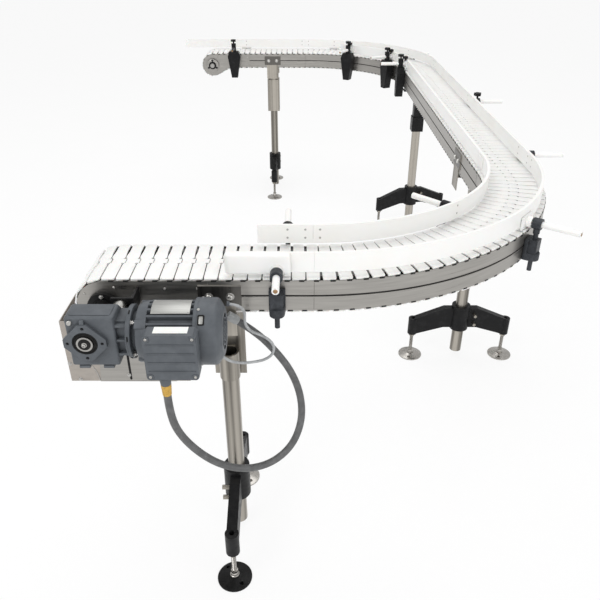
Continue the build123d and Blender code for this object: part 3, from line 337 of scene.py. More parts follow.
def make_materials():
    """Every finish, by the name of the record's slot it stands for."""
    along = (0.04, 0.04, 1.0)
    upright = (1.0, 1.0, 0.03)
    return {
        "chain_white": white_plastic("chain_white", (0.84, 0.84, 0.83), 0.38),
        "guide_white": white_plastic("guide_white", (0.87, 0.87, 0.86), 0.42),
        "wear_dark": white_plastic("wear_strip", (0.10, 0.10, 0.10), 0.5),
        "rail_steel": brushed_steel("rail_steel", (0.43, 0.415, 0.39), 0.34, along),
        "stand_steel": streaked_steel("stand_steel", (0.37, 0.345, 0.305)),
        "guard_beige": flat_paint("guard_sheet", (0.37, 0.335, 0.30), 0.45),
        "shaft_steel": brushed_steel("shaft_steel", (0.46, 0.45, 0.43), 0.3, (1, 0.1, 1)),
        "sprocket_plastic": white_plastic("sprocket_nylon", (0.72, 0.71, 0.67), 0.45),
        "motor_paint": cast_paint("motor_paint", (0.088, 0.097, 0.108), 0.42),
        "fastener_steel": brushed_steel("fastener_steel", (0.56, 0.55, 0.53), 0.3, (1, 1, 1), 300.0),
        "black_plastic": black_nylon("black_nylon"),
        "black_steel": cast_paint("black_paint", (0.0065, 0.0065, 0.007), 0.36),
        
        "bronze_screw": brushed_steel("bronze_screw", (0.42, 0.27, 0.15), 0.34, (1, 1, 1), 300.0),
        "dark_screw": black_nylon("black_oxide", (0.030, 0.030, 0.032), 0.32),
        "plate_metal": brushed_steel("rating_plate", (0.50, 0.50, 0.48), 0.42, (0.05, 1, 1), 240.0),
        "label_white": white_plastic("blank_label", (0.84, 0.84, 0.83), 0.45),
        "bush_steel": brushed_steel("zinc_plate", (0.66, 0.65, 0.62), 0.24, (1, 1, 1), 120.0),
        # A darker copy of the cheek steel: a painted reflection on the cheeks' faces.
        "cheek_steel": brushed_steel("cheek_reflection_plate", (0.17, 0.163, 0.152), 0.32, upright),
        "groove_shade": black_nylon("groove_shade", (0.02, 0.019, 0.018), 0.6),
        # The seal and the window frame are black rubber; this finish also colours painted shade in the slots
        # and the shaft's recess.
        "black_rubber": black_nylon("black_rubber", (0.012, 0.012, 0.012), 0.7),
        "bracket_grey": black_nylon("grey_nylon", (0.034, 0.037, 0.042), 0.42),
        "foot_black": black_nylon("foot_nylon", (0.006, 0.006, 0.006), 0.34),
        "foot_steel": brushed_steel("foot_steel", (0.50, 0.48, 0.45), 0.26, (1, 1, 0.3), 60.0),
        "gland_yellow": yellow_band("yellow_collar"),
        "conduit_grey": sheathing("conduit_sheath", (0.085, 0.086, 0.087), 0.45, 500.0),
        "sleeve_grey": sheathing("sleeve_sheath", (0.30, 0.31, 0.31), 0.5, 300.0),
        "lead_grey": sheathing("lead_sheath", (0.34, 0.35, 0.355), 0.5, 300.0),
    }


finishes = {}


def dress_nodes():
    """Give every frame node the finish of its slot."""
    for part in frame["record"]["subparts"]:
        node = nodes[part["node"]]
        node.data.materials.clear()
        node.data.materials.append(finishes[part["material_slot"]])


# Mesh tools


def finish_piece(piece, body, look, smooth=35.0):
    """Ride a new piece on a body with a finish, its curved faces smoothed."""
    piece.data.materials.append(finishes[look])
    if piece.type == "MESH" and smooth:
        for polygon in piece.data.polygons:
            polygon.use_smooth = True
        piece.data.set_sharp_from_angle(angle=math.radians(smooth))
    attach(piece, body)
    return piece


def new_piece(name, mesh_data):
    piece = bpy.data.objects.new(name, mesh_data)
    bpy.context.scene.collection.objects.link(piece)
    return piece


def from_bmesh(name, mesh):
    """Object of a finished bmesh."""
    bmesh.ops.recalc_face_normals(mesh, faces=mesh.faces)
    data = bpy.data.meshes.new(name)
    mesh.to_mesh(data)
    mesh.free()
    return new_piece(name, data)


def aim(direction):
    """Rotation that turns +Z to a direction."""
    return Vector((0, 0, 1)).rotation_difference(Vector(direction)).to_matrix().to_4x4()


def add_turned(mesh, place, stations, segments=48, flute=None):
    """Revolve (height, radius) stations about +Z of a place, closed at both ends."""
    rings = []
    for height, radius in stations:
        ring = []
        for index in range(segments):
            angle = 2 * math.pi * index / segments
            reach = radius * (flute(index) if flute else 1.0)
            point = Vector((reach * math.cos(angle), reach * math.sin(angle), height))
            ring.append(mesh.verts.new(place @ point))
        rings.append(ring)
    for lower, upper in zip(rings, rings[1:]):
        for index in range(segments):
            after = (index + 1) % segments
            mesh.faces.new((lower[index], lower[after], upper[after], upper[index]))
    mesh.faces.new(list(reversed(rings[0])))
    mesh.faces.new(rings[-1])


def add_prism(mesh, place, outline, low, high):
    """Extrude an outline of (x, y) points between two heights of a place."""
    bottom = [mesh.verts.new(place @ Vector((x, y, low))) for x, y in outline]
    top = [mesh.verts.new(place @ Vector((x, y, high))) for x, y in outline]
    count = len(outline)
    for index in range(count):
        after = (index + 1) % count
        mesh.faces.new((bottom[index], bottom[after], top[after], top[index]))
    mesh.faces.new(list(reversed(bottom)))
    mesh.faces.new(top)


def add_box(mesh, place, low, high):
    outline = [(low[0], low[1]), (high[0], low[1]), (high[0], high[1]), (low[0], high[1])]
    add_prism(mesh, place, outline, low[2], high[2])


def rounded(width, height, radius, steps=5):
    """Rectangle outline with round corners."""
    points = []
    for corner in range(4):
        sx = (1, -1, -1, 1)[corner]
        sy = (1, 1, -1, -1)[corner]
        for step in range(steps + 1):
            angle = math.pi / 2 * (corner + step / steps)
            points.append((sx * (width / 2 - radius) + radius * math.cos(angle),
                           sy * (height / 2 - radius) + radius * math.sin(angle)))
    return points


def bevelled(piece, width, segments=2, angle=40.0):
    """Bevel a piece's sharp edges for good."""
    modifier = piece.modifiers.new("edges", "BEVEL")
    modifier.width = width
    modifier.segments = segments
    modifier.limit_method = "ANGLE"
    modifier.angle_limit = math.radians(angle)
    modifier.harden_normals = False
    return apply_modifiers(piece)


def apply_modifiers(piece):
    bpy.context.view_layer.update()
    graph = bpy.context.evaluated_depsgraph_get()
    made = bpy.data.meshes.new_from_object(piece.evaluated_get(graph))
    piece.modifiers.clear()
    piece.data = made
    return piece


def add_hex_bolt(mesh, place, radius, height):
    """Hexagon bolt head with a washer, standing on +Z of a place."""
    washer = height * 0.25
    add_turned(mesh, place, [(0, radius * 1.45), (washer * 0.8, radius * 1.45), (washer, radius * 1.35)], 32)
    corners = [math.radians(60 * index) for index in range(6)]
    hexagon = [(radius * math.cos(angle), radius * math.sin(angle)) for angle in corners]
    add_prism(mesh, place, hexagon, washer, height * 0.9)
    add_turned(mesh, place, [(height * 0.9, radius * 0.84), (height, radius * 0.74)], 24)


def add_socket_screw(mesh, place, radius, height):
    """Socket cap screw with its hexagon recess."""
    stations = [(0, radius), (height * 0.85, radius), (height, radius * 0.9), (height, radius * 0.55)]
    add_turned(mesh, place, stations + [(height * 0.4, radius * 0.5)], 28)


# Cords


conduit_route = [
    (-0.114, -0.1045, 0.838), (-0.114, -0.1045, 0.772), (-0.097, -0.096, 0.697), (-0.051, -0.084, 0.620),
    (0.003, -0.066, 0.560), (0.066, -0.046, 0.527), (0.134, -0.024, 0.530), (0.190, 0.0, 0.572),
    (0.217, 0.022, 0.643), (0.214, 0.044, 0.716), (0.187, 0.064, 0.785), (0.143, 0.082, 0.840),
    (0.094, 0.0992, 0.886), (0.047, 0.0992, 0.921),
]
lead_route = [
    (0.028, 0.0515, 1.0034), (0.048, 0.053, 1.0), (0.064, 0.059, 0.986), (0.069, 0.067, 0.965),
    (0.066, 0.075, 0.942), (0.068, 0.082, 0.918), (0.082, 0.081, 0.900), (0.107, 0.079, 0.891),
    (0.130, 0.077, 0.877), (0.143, 0.068, 0.861), (0.138, 0.057, 0.843), (0.119, 0.048, 0.833),
    (0.094, 0.041, 0.831), (0.067, 0.034, 0.832), (0.041, 0.028, 0.838), (0.019, 0.024, 0.850),
    (0.003, 0.022, 0.8685),
]


def make_cord(name, route, diameter, slot):
    """Round cord on a smooth spline through its route's control points."""
    curve = bpy.data.curves.new(name, "CURVE")
    curve.dimensions = "3D"
    curve.bevel_depth = diameter / 2
    curve.bevel_resolution = 6
    spline = curve.splines.new("NURBS")
    spline.points.add(len(route) - 1)
    for point, place in zip(spline.points, route):
        point.co = (*place, 1.0)
    spline.order_u = 3
    spline.use_endpoint_u = True
    spline.resolution_u = 10
    return finish_piece(new_piece(name, curve), "conveyor", slot)


# Properties and operators


class ConveyorSettings(bpy.types.PropertyGroup):
    """Sizes and colours that a user would change."""

    conduit_diameter: bpy.props.FloatProperty(
        name="Conduit Diameter", description="Outside diameter of the motor's conduit",
        default=0.020, min=0.005, max=0.04, unit="LENGTH")
    lead_diameter: bpy.props.FloatProperty(
        name="Lead Diameter", description="Outside diameter of the thin lead",
        default=0.0075, min=0.002, max=0.02, unit="LENGTH")
    floor_colour: bpy.props.FloatVectorProperty(
        name="Floor", description="Colour of the studio floor",
        default=(0.93, 0.93, 0.93), min=0.0, max=1.0, subtype="COLOR")
    floor_lift: bpy.props.FloatProperty(
        name="Floor Lift", description="How far the floor is lifted towards white for the camera",
        default=0.82, min=0.0, max=1.0, subtype="FACTOR")


class CONVEYOR_OT_camera(bpy.types.Operator):
    """Place the camera at the photograph's viewpoint"""

    bl_idname = "conveyor.camera"
    bl_label = "Camera"

    def execute(self, context):
        data = bpy.data.cameras.new("camera")
        data.lens = 38.4
        data.sensor_width = 36.0
        data.clip_end = 60.0
        camera = bpy.data.objects.new("camera", data)
        camera.location = (0.211, -1.340, 1.831)
        camera.rotation_euler = (math.radians(90 - 30.4), 0, 0)
        context.scene.collection.objects.link(camera)
        context.scene.camera = camera
        return {"FINISHED"}


class CONVEYOR_OT_cords(bpy.types.Operator):
    """Add the motor's conduit and the thin lead on the fan cover"""

    bl_idname = "conveyor.cords"
    bl_label = "Cords"

    def execute(self, context):
        sizes = context.scene.conveyor
        conduit = make_cord("conduit", conduit_route, sizes.conduit_diameter, "conduit_grey")
        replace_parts(conduit, "motor_conduit")
        lead = make_cord("lead", lead_route, sizes.lead_diameter, "lead_grey")
        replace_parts(lead, "fan_cover_lead")
        return {"FINISHED"}


class CONVEYOR_OT_stage(bpy.types.Operator):
    """Add the pale floor, the soft lights and the white surroundings"""

    bl_idname = "conveyor.stage"
    bl_label = "Studio"

    def execute(self, context):
        sizes = context.scene.conveyor
        mesh = bmesh.new()
        add_box(mesh, Matrix.Identity(4), (-30, -30, -0.02), (30, 40, 0))
        floor = from_bmesh("floor", mesh)
        floor.data.materials.append(floor_material(sizes.floor_colour, sizes.floor_lift))
        soft_light("key", (-2.6, -2.4, 4.2), (0.2, 1.2, 0.7), 2.2, 60.0)
        soft_light("fill", (3.8, -2.2, 2.8), (0.6, 1.4, 0.8), 2.4, 40.0)
        soft_light("front", (0.2, -4.4, 1.6), (0.2, 1.0, 0.9), 2.4, 23.0)
        soft_light("top", (0.2, 2.6, 5.0), (0.3, 2.9, 0.9), 3.6, 72.0)
        white_world()
        context.scene.view_settings.view_transform = "Standard"
        return {"FINISHED"}


def floor_material(colour, lift):
    """Floor that keeps the shadow and is lifted towards white for the camera."""
    finish = Finish("floor", 0.7)
    speck = tuple(c * 0.985 for c in colour)
    finish.colour(finish.mix(finish.ramp(finish.noise(3, 3), 0.4, 0.6), tuple(colour), speck))
    glow = finish.add("ShaderNodeEmission", strength=1.0)
    seen = finish.add("ShaderNodeLightPath")
    either = finish.add("ShaderNodeMath", operation="MAXIMUM")
    finish.link(seen.outputs["Is Camera Ray"], either.inputs[0])
    finish.link(seen.outputs["Is Glossy Ray"], either.inputs[1])
    blend = finish.add("ShaderNodeMixShader")
    finish.link(finish.times(either.outputs["Value"], lift), blend.inputs["Fac"])
    finish.link(finish.surface.outputs["BSDF"], blend.inputs[1])
    finish.link(glow.outputs["Emission"], blend.inputs[2])
    output = finish.tree.nodes["Material Output"]
    finish.link(blend.outputs["Shader"], output.inputs["Surface"])
    return finish.material


def soft_light(name, place, target, size, power):
    data = bpy.data.lights.new(name, "AREA")
    data.size = size
    data.energy = power
    light = bpy.data.objects.new(name, data)
    light.location = place
    toward = Vector(target) - Vector(place)
    light.rotation_euler = toward.to_track_quat("-Z", "Y").to_euler()
    bpy.context.scene.collection.objects.link(light)


def white_world():
    """White to the camera and to gloss, softer as a light."""
    world = bpy.data.worlds.new("studio")
    bpy.context.scene.world = world
    world.use_nodes = True
    tree = world.node_tree
    background = tree.nodes["Background"]
    background.inputs["Color"].default_value = (1, 1, 1, 1)
    seen = tree.nodes.new("ShaderNodeLightPath")
    strength = tree.nodes.new("ShaderNodeMapRange")
    strength.inputs["To Min"].default_value = 0.74
    strength.inputs["To Max"].default_value = 1.0
    tree.links.new(seen.outputs["Is Camera Ray"], strength.inputs["Value"])
    tree.links.new(strength.outputs["Result"], background.inputs["Strength"])


# Chain


def slat_outline():
    """Plan of one slat: round hinge relief at both sides of its tongue, cut back inside the bends."""
    edge, full = chain_width / 2, slat_middle / 2
    root, relief, corner = 0.012, 0.0034, 0.0045
    tip = full + 0.0061
    lead = round_corner(slat_outer / 2 - corner, -edge + corner, corner, -90)
    lead += [bite(full, -root - relief, relief, step, -1) for step in range(7)]
    lead += [(tip - 0.002, -root), (tip, -root + 0.002), (tip, root - 0.002), (tip - 0.002, root)]
    lead += [bite(full, root + relief, relief, step, -1) for step in range(7)]
    lead += [(full, edge * 0.3), (slat_inner / 2, edge * 0.55)]
    lead += round_corner(slat_inner / 2 - corner, edge - corner, corner, 0)
    mouth, floor = root + 0.00025, tip - chain_pitch + 0.0019
    trail = round_corner(-slat_inner / 2 + corner, edge - corner, corner, 90)
    trail += [(-slat_inner / 2, edge * 0.55), (-full, edge * 0.3)]
    trail += [bite(-full, mouth + relief, relief, 6 - step, 1) for step in range(7)]
    trail += [(floor, mouth), (floor, -mouth)]
    trail += [bite(-full, -mouth - relief, relief, 6 - step, 1) for step in range(7)]
    trail += round_corner(-slat_outer / 2 + corner, -edge + corner, corner, 180)
    return lead + trail


def round_corner(x, y, radius, first):
    """Quarter of a circle in five points, from its first angle."""
    angles = [math.radians(first + 22.5 * step) for step in range(5)]
    return [(x + radius * math.cos(angle), y + radius * math.sin(angle)) for angle in angles]


def bite(x, y, radius, step, side):
    """Point of a half-round relief that cuts into the slat, from its outer end to its inner end."""
    angle = math.pi * step / 6 - math.pi / 2
    return (x + side * radius * math.cos(angle), y + radius * math.sin(angle))


def add_slat(mesh, place, outline):
    add_prism(mesh, place, outline, slat_low, slat_top)
    edge = chain_width / 2 - 0.0004
    for side in (-1, 1):
        reach = slat_outer if side < 0 else slat_inner
        near, far = sorted((side * edge, side * (edge - 0.006)))
        add_box(mesh, place, (-reach / 2 + 0.0005, near, tab_low), (reach * 0.05, far, slat_low + 0.0002))
    barrel = place @ Matrix.Translation((chain_pitch / 2, 0, 0)) @ Matrix.Rotation(math.pi / 2, 4, "X")
    add_turned(mesh, barrel, [(-0.009, 0.0046), (-0.0084, 0.005), (0.0084, 0.005), (0.009, 0.0046)], 16)


def route_station(distance, height):
    """Frame on the whole route, X along the travel."""
    for leg, length in enumerate(leg_lengths):
        if distance <= length or leg == 4:
            return station(leg, distance, 0.0, height)
        distance -= length


def wrap_places(end, heading):
    """Frames of the slats round a sprocket and up the ramp to the return run."""
    step = math.radians(30)
    reach = sprocket_radius * math.cos(step / 2)
    places = []
    for index in range(7):
        angle = (index + 0.5) * step
        spot = (heading * reach * math.sin(angle), 0, shaft_level + reach * math.cos(angle))
        places.append(end @ Matrix.Translation(spot) @ Matrix.Rotation(heading * angle, 4, "Y"))
    x, z = -heading * sprocket_radius / 2, shaft_level - sprocket_radius * math.cos(step)
    for rise in (30, 30, 15):
        slope = math.radians(rise)
        across, up = -heading * chain_pitch * math.cos(slope), chain_pitch * math.sin(slope)
        spot = Matrix.Translation((x + across / 2, 0, z + up / 2))
        places.append(end @ spot @ Matrix.Rotation(math.pi + heading * slope, 4, "Y"))
        x, z = x + across, z + up
    return places


def add_pocket_shades(mesh, place, drop):
    """Dark sheets of painted shade between a slat's ends and the rails' edges, and below its hinge holes."""
    for side in (-1, 1):
        near, far = sorted((side * (half_frame - 0.0006), side * (half_frame + 0.0003)))
        add_box(mesh, place, (0.0015, near, -drop), (0.0150, far, slat_low - 0.0002))
        near, far = sorted((side * 0.0115, side * 0.0190))
        add_box(mesh, place, (0.0135, near, 0.0004), (0.0245, far, 0.0010))


class CONVEYOR_OT_chain(bpy.types.Operator):
    """Add the moulded slats of the chain with their hinges"""

    bl_idname = "conveyor.chain"
    bl_label = "Chain"

    def execute(self, context):
        outline = slat_outline()
        count = round(sum(leg_lengths) / chain_pitch)
        carrying = [route_station((index + 0.5) * chain_pitch, pin_level) for index in range(count)]
        inset = sprocket_radius / 2 + chain_pitch * (2 * math.cos(math.pi / 6) + math.cos(math.pi / 12))
        run = sum(leg_lengths) - 2 * inset
        links = round(run / chain_pitch)
        turned_over = Matrix.Rotation(math.pi, 4, "Y")
        returning = [route_station(inset + (index + 0.5) * run / links, return_level) @ turned_over
                     for index in range(links)]
        runs = {"chain_top_run": carrying, "chain_return_run": returning,
                "chain_drive_wrap": wrap_places(station(0, 0.0), -1),
                "chain_idler_wrap": wrap_places(station(4, rear_run), 1)}
        for node, places in runs.items():
            mesh = bmesh.new()
            for place in places:
                add_slat(mesh, place, outline)
            slats = bevelled(from_bmesh(node.replace("chain", "slats"), mesh), 0.0005, 2, 30)
            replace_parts(finish_piece(slats, "conveyor", "chain_white"), node)
        # Painted shade: dark sheets under the slats' ends and below their hinge holes.
        pocket_shades = bmesh.new()
        for place in carrying + returning:
            add_pocket_shades(pocket_shades, place, 0.0024)
        finish_piece(from_bmesh("slat_pocket_shades", pocket_shades), "conveyor", "groove_shade")
        return {"FINISHED"}


# Guide rails, their rods and brackets

outer_places = [(0, 0.458), (1, 0.578 * bend_length), (2, 0.135), (2, 0.5217 * middle_run),
                (3, 0.33 * bend_length), (3, 0.83 * bend_length), (4, 0.430)]
inner_places = [(0, 0.483), (1, 0.489 * bend_length)]
tall_places = [(3, 0.005 * bend_length), (3, 0.278 * bend_length), (3, 0.667 * bend_length)]
idler_place = (4, 0.504)


def facing(leg, distance, side, outward, height):
    """Frame with +Z pointing away from the route on one side, +X along it."""
    turn = Matrix.Rotation(side * math.pi / 2, 4, "X")
    return station(leg, distance, side * outward, height) @ turn


def add_pan_screw(mesh, place, radius, height):
    """Domed screw head with a round drive recess."""
    stations = [(0, radius), (height * 0.4, radius), (height * 0.8, radius * 0.82), (height, radius * 0.55)]
    add_turned(mesh, place, stations + [(height, radius * 0.34), (height * 0.35, radius * 0.3)], 20)


class CONVEYOR_OT_guides(bpy.types.Operator):
    """Add the guide rails' shoe, joiners, screws and rod ends"""

    bl_idname = "conveyor.guides"
    bl_label = "Guide Details"

    def execute(self, context):
        make_shoe()
        joints = {"outer": (1, 0.079, [(2, 0.0), (3, 0.0), (4, 0.0)]),
                  "inner": (-1, 0.087, [(1, 0.0), (2, 0.0), (3, 0.0)])}
        carriers = {"outer": outer_places[1:], "inner": inner_places + tall_places}
        for word, (side, face, ends) in joints.items():
            screws, plates = bmesh.new(), bmesh.new()
            for leg, distance in carriers[word]:
                for height in (guide_low + 0.0165, guide_low + 0.0415):
                    add_guide_screw(screws, leg, distance, side, face, height)
            for leg, distance in ends:
                for before in (-0.022, 0.022):
                    at = (leg, distance + before) if before > 0 else (leg - 1, leg_lengths[leg - 1] + before)
                    for height in (guide_low + 0.0165, guide_low + 0.0415):
                        add_guide_screw(screws, *at, side, face, height)
                place = facing(leg, distance, side, face + 0.0101, guide_low + 0.0275)
                add_prism(plates, place, rounded(0.064, 0.038, 0.004), 0.0, 0.003)
            body = word + "_guide"
            finish_piece(bevelled(from_bmesh(word + "_guide_screws", screws), 0.0002), body, "fastener_steel")
            finish_piece(bevelled(from_bmesh(word + "_guide_joiners", plates), 0.0008), body, "guide_white")
        make_rod_ends()
        make_bracket_bodies()
        make_ring_screws()
        make_guide_knobs()
        return {"FINISHED"}


def add_guide_screw(mesh, leg, distance, side, face, height):
    place = facing(leg, distance, side, face, height) @ Matrix.Rotation(math.pi, 4, "X")
    add_pan_screw(mesh, place, 0.0032, 0.0008)


def make_shoe():
    """Thick rounded shoe that leads goods in at the start of the outer guide."""
    mesh = bmesh.new()
    near, far, low, high = 0.0745, 0.1035, guide_low - 0.0015, guide_low + 0.0565
    place = station(0, 0.323, 0.0, low)
    outline = [(0.171, -near)]
    for step in range(9):
        angle = math.pi / 2 + math.pi * step / 8
        outline.append((0.0145 + 0.0145 * math.cos(angle), -(near + far) / 2 + 0.0145 * math.sin(angle)))
    outline.append((0.171, -far))
    add_prism(mesh, place, outline, 0.0, high - low)
    finish_piece(bevelled(from_bmesh("guide_shoe", mesh), 0.0075, 5, 50), "outer_guide", "guide_white")


def make_rod_ends():
    """Countersunk screws in the ends of the cross rods."""
    ends = {"outer_guide": [(leg, distance, 1, rod_low + (0.097 if leg == 0 else 0.143), outer_rod_level)
                            for leg, distance in outer_places],
            "inner_guide": [(leg, distance, -1, rod_low + 0.143, inner_rod_level)
                            for leg, distance in inner_places + tall_places],
            "conveyor": [(*idler_place, -1, rod_low + 0.143, inner_rod_level)]}
    for body, spots in ends.items():
        mesh = bmesh.new()
        for leg, distance, side, outward, height in spots:
            add_pan_screw(mesh, facing(leg, distance, side, outward, height), 0.0058, 0.0016)
        finish_piece(bevelled(from_bmesh(body + "_rod_screws", mesh), 0.0002), body, "bronze_screw")


def make_bracket_bodies():
    """Moulded bracket bodies: a back plate on the rail and a round-ended lug about the post."""
    mesh = bmesh.new()
    for side, spots in ((1, outer_places), (-1, inner_places)):
        for leg, distance in spots:
            back = facing(leg, distance, side, half_frame + 0.0002, 0.979)
            add_prism(mesh, back, rounded(0.044, 0.070, 0.004), 0.0, 0.0115)
            lug = station(leg, distance, side * 0.128, 0.0)
            outline = [(0.022, side * 0.017), (-0.022, side * 0.017)]
            for step in range(9):
                angle = math.pi * step / 8
                outline.append((-0.0205 * math.cos(angle), -side * (0.002 + 0.0205 * math.sin(angle))))
            add_prism(mesh, lug, outline, 0.9450, 0.9700)
            add_turned(mesh, lug, [(0.9698, 0.0150), (0.9890, 0.0135), (0.9915, 0.0118)], 40)
    finish_piece(bevelled(from_bmesh("bracket_bodies", mesh), 0.0022, 3), "conveyor", "bracket_grey")


def make_ring_screws():
    """Pinch screws of the clamp rings and cap screws of the low brackets."""
    rings = {"outer_guide": (1, outer_rod_level, outer_places),
             "inner_guide": (-1, inner_rod_level, inner_places)}
    for body, (side, level, spots) in rings.items():
        mesh = bmesh.new()
        for leg, distance in spots:
            place = station(leg, distance, side * 0.128, level + 0.004) @ Matrix.Rotation(math.pi / 2, 4, "Y")
            add_socket_screw(mesh, place @ Matrix.Translation((0, 0, 0.016)), 0.0045, 0.005)
        finish_piece(bevelled(from_bmesh(body + "_ring_screws", mesh), 0.0003), body, "fastener_steel")
    mesh = bmesh.new()
    for side, spots in ((1, outer_places), (-1, inner_places)):
        for leg, distance in spots:
            for hand in (-1, 1):
                place = facing(leg, distance + hand * 0.0155, side, half_frame + 0.0117, 1.0035)
                add_socket_screw(mesh, place, 0.0035, 0.0035)
    finish_piece(bevelled(from_bmesh("bracket_screws", mesh), 0.0003), "conveyor", "dark_screw")


def make_guide_knobs():
    """Second knob of each moulded bracket, over the boss that holds the guide."""
    mesh = bmesh.new()
    for leg, distance in tall_places:
        place = station(leg, distance, -0.1045, inner_rod_level + 0.0168)
        stations = [(0, 0.0055), (0.006, 0.0045), (0.012, 0.0045), (0.013, 0.013), (0.015, 0.0158),
                    (0.024, 0.0165), (0.027, 0.0150), (0.028, 0.011)]
        add_turned(mesh, place, stations, 40,
                   lambda index: 1.0 + 0.09 * math.cos(5 * 2 * math.pi * index / 40))
    finish_piece(from_bmesh("guide_clamp_knobs", mesh), "inner_guide", "black_plastic")


# Gearmotor


def about_motor(x, degrees=0.0):
    """Frame on the motor's axis with +Z along the world's X, turned about it."""
    return (Matrix.Translation((x, motor_line, shaft_level)) @ Matrix.Rotation(math.radians(degrees), 4, "X")
            @ Matrix.Rotation(math.pi / 2, 4, "Y"))


def front_face(x, y, z):
    """Frame on a face towards the front, its +Z pointing out of it."""
    return Matrix.Translation((x, y, z)) @ Matrix.Rotation(math.pi / 2, 4, "X")


class CONVEYOR_OT_gearmotor(bpy.types.Operator):
    """Add the gearbox's, the motor's and the terminal box's details"""

    bl_idname = "conveyor.gearmotor"
    bl_label = "Gearmotor Details"

    def execute(self, context):
        make_gearbox_details()
        make_end_shield()
        make_fan_cover()
        make_motor_plates()
        make_gland()
        make_torque_bush()
        return {"FINISHED"}


def make_gearbox_details():
    mesh = bmesh.new()
    place = front_face(-0.3383, -0.0552, 1.0141)
    add_turned(mesh, place, [(0, 0.0068), (0.002, 0.0068), (0.0026, 0.006), (0.0045, 0.0058),
                             (0.0055, 0.0048)], 32)
    shaft_end = front_face(drive_x, gearbox_face - 0.0042, shaft_level)
    finish_piece(bevelled(from_bmesh("gearbox_plug", mesh), 0.0003), "conveyor", "fastener_steel")
    mesh = bmesh.new()
    for quarter in range(4):
        angle = quarter * math.pi / 2
        x, z = drive_x + 0.042 * math.cos(angle), shaft_level + 0.042 * math.sin(angle)
        add_socket_screw(mesh, front_face(x, gearbox_face + 0.0098, z), 0.0036, 0.0075)
    finish_piece(from_bmesh("flange_screws", mesh), "conveyor", "dark_screw")
    mesh = bmesh.new()
    face = front_face(drive_x, gearbox_face + 0.0039, shaft_level)
    add_ring(mesh, face, [(0, 0.0207), (0.0030, 0.0207), (0.0034, 0.0215), (0.0034, 0.0245), (0.0018, 0.0252),
                          (0.0018, 0.0275), (0.0036, 0.0282), (0.0036, 0.0300), (0, 0.0306)], 64)
    finish_piece(from_bmesh("shaft_seal", mesh), "conveyor", "black_rubber")
    mesh = bmesh.new()
    add_turned(mesh, shaft_end, [(0.0016, 0.0066), (0.0020, 0.0066), (0.0022, 0.0052), (0.0060, 0.0052),
                                 (0.0072, 0.0042), (0.0072, 0.0024), (0.0040, 0.0022)], 24)
    finish_piece(bevelled(from_bmesh("shaft_bolt", mesh), 0.0003), "drive", "fastener_steel")
    # Painted shade: a thin black disc stands for the shade in the recess of the shaft's end.
    mesh = bmesh.new()
    add_turned(mesh, shaft_end, [(0.0003, 0.0150), (0.0012, 0.0150), (0.0015, 0.0144)], 48)
    finish_piece(from_bmesh("shaft_recess_shade", mesh), "drive", "black_rubber")
    mesh = bmesh.new()
    top = Matrix.Translation((gearbox_middle, -0.020, gearbox_top))
    add_prism(mesh, top, rounded(0.100, 0.050, 0.006), 0.0001, 0.0014)
    finish_piece(bevelled(from_bmesh("gearbox_top_pad", mesh), 0.0008, 3), "conveyor", "motor_paint")


def add_ring(mesh, place, profile, segments):
    """Revolve a closed (height, radius) profile about +Z of a place."""
    rings = []
    for height, radius in profile:
        rings.append([mesh.verts.new(place @ Vector((radius * math.cos(2 * math.pi * index / segments),
                                                     radius * math.sin(2 * math.pi * index / segments),
                                                     height)))
                      for index in range(segments)])
    for row, ring in enumerate(rings):
        other = rings[(row + 1) % len(rings)]
        for index in range(segments):
            after = (index + 1) % segments
            mesh.faces.new((ring[index], ring[after], other[after], other[index]))


def make_end_shield():
    """Adapter disc and finned end shield with the bolts between them."""
    mesh = bmesh.new()
    add_turned(mesh, about_motor(adapter_start), [(0, 0.0655), (0.0012, 0.0675), (0.0035, 0.068),
                                                  (0.0045, 0.0672), (0.0075, 0.0672), (0.0085, 0.068),
                                                  (0.0110, 0.068), (0.012, 0.0668)], 96)
    neck = adapter_start + 0.0120
    add_turned(mesh, about_motor(neck), [(0.0001, 0.050), (0.0119, 0.050)], 72)
    add_turned(mesh, about_motor(neck + 0.0121), [(0, 0.066), (0.0018, 0.0700), (0.010, 0.0735),
                                                  (0.0262, 0.0770), (0.0279, 0.0775)], 96)
    for quarter in range(4):
        turn = about_motor(neck + 0.012, 45 + 90 * quarter)
        add_box(mesh, turn, (0.056, -0.011, 0.0002), (0.0765, 0.011, 0.026))
    shield = bevelled(from_bmesh("end_shield", mesh), 0.0008)
    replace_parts(finish_piece(shield, "conveyor", "motor_paint"), "motor_end_shield")
    mesh = bmesh.new()
    for spot in range(4):
        turn = about_motor(neck + 0.0003, 38 + 90 * spot) @ Matrix.Translation((0.0600, 0, 0))
        add_hex_bolt(mesh, turn, 0.0048, 0.0065)
        add_turned(mesh, turn, [(0.0064, 0.003), (0.0112, 0.003)], 16)
    finish_piece(bevelled(from_bmesh("adapter_bolts", mesh), 0.0003), "conveyor", "fastener_steel")
    # Painted shade: thin black blocks stand for the shade in the adapter's slots.
    mesh = bmesh.new()
    for spot in range(6):
        turn = about_motor(adapter_start + 0.006, 15 + 60 * spot)
        add_box(mesh, turn, (0.0665, -0.006, -0.0014), (0.0684, 0.006, 0.0014))
    finish_piece(from_bmesh("adapter_slot_shades", mesh), "conveyor", "black_rubber")


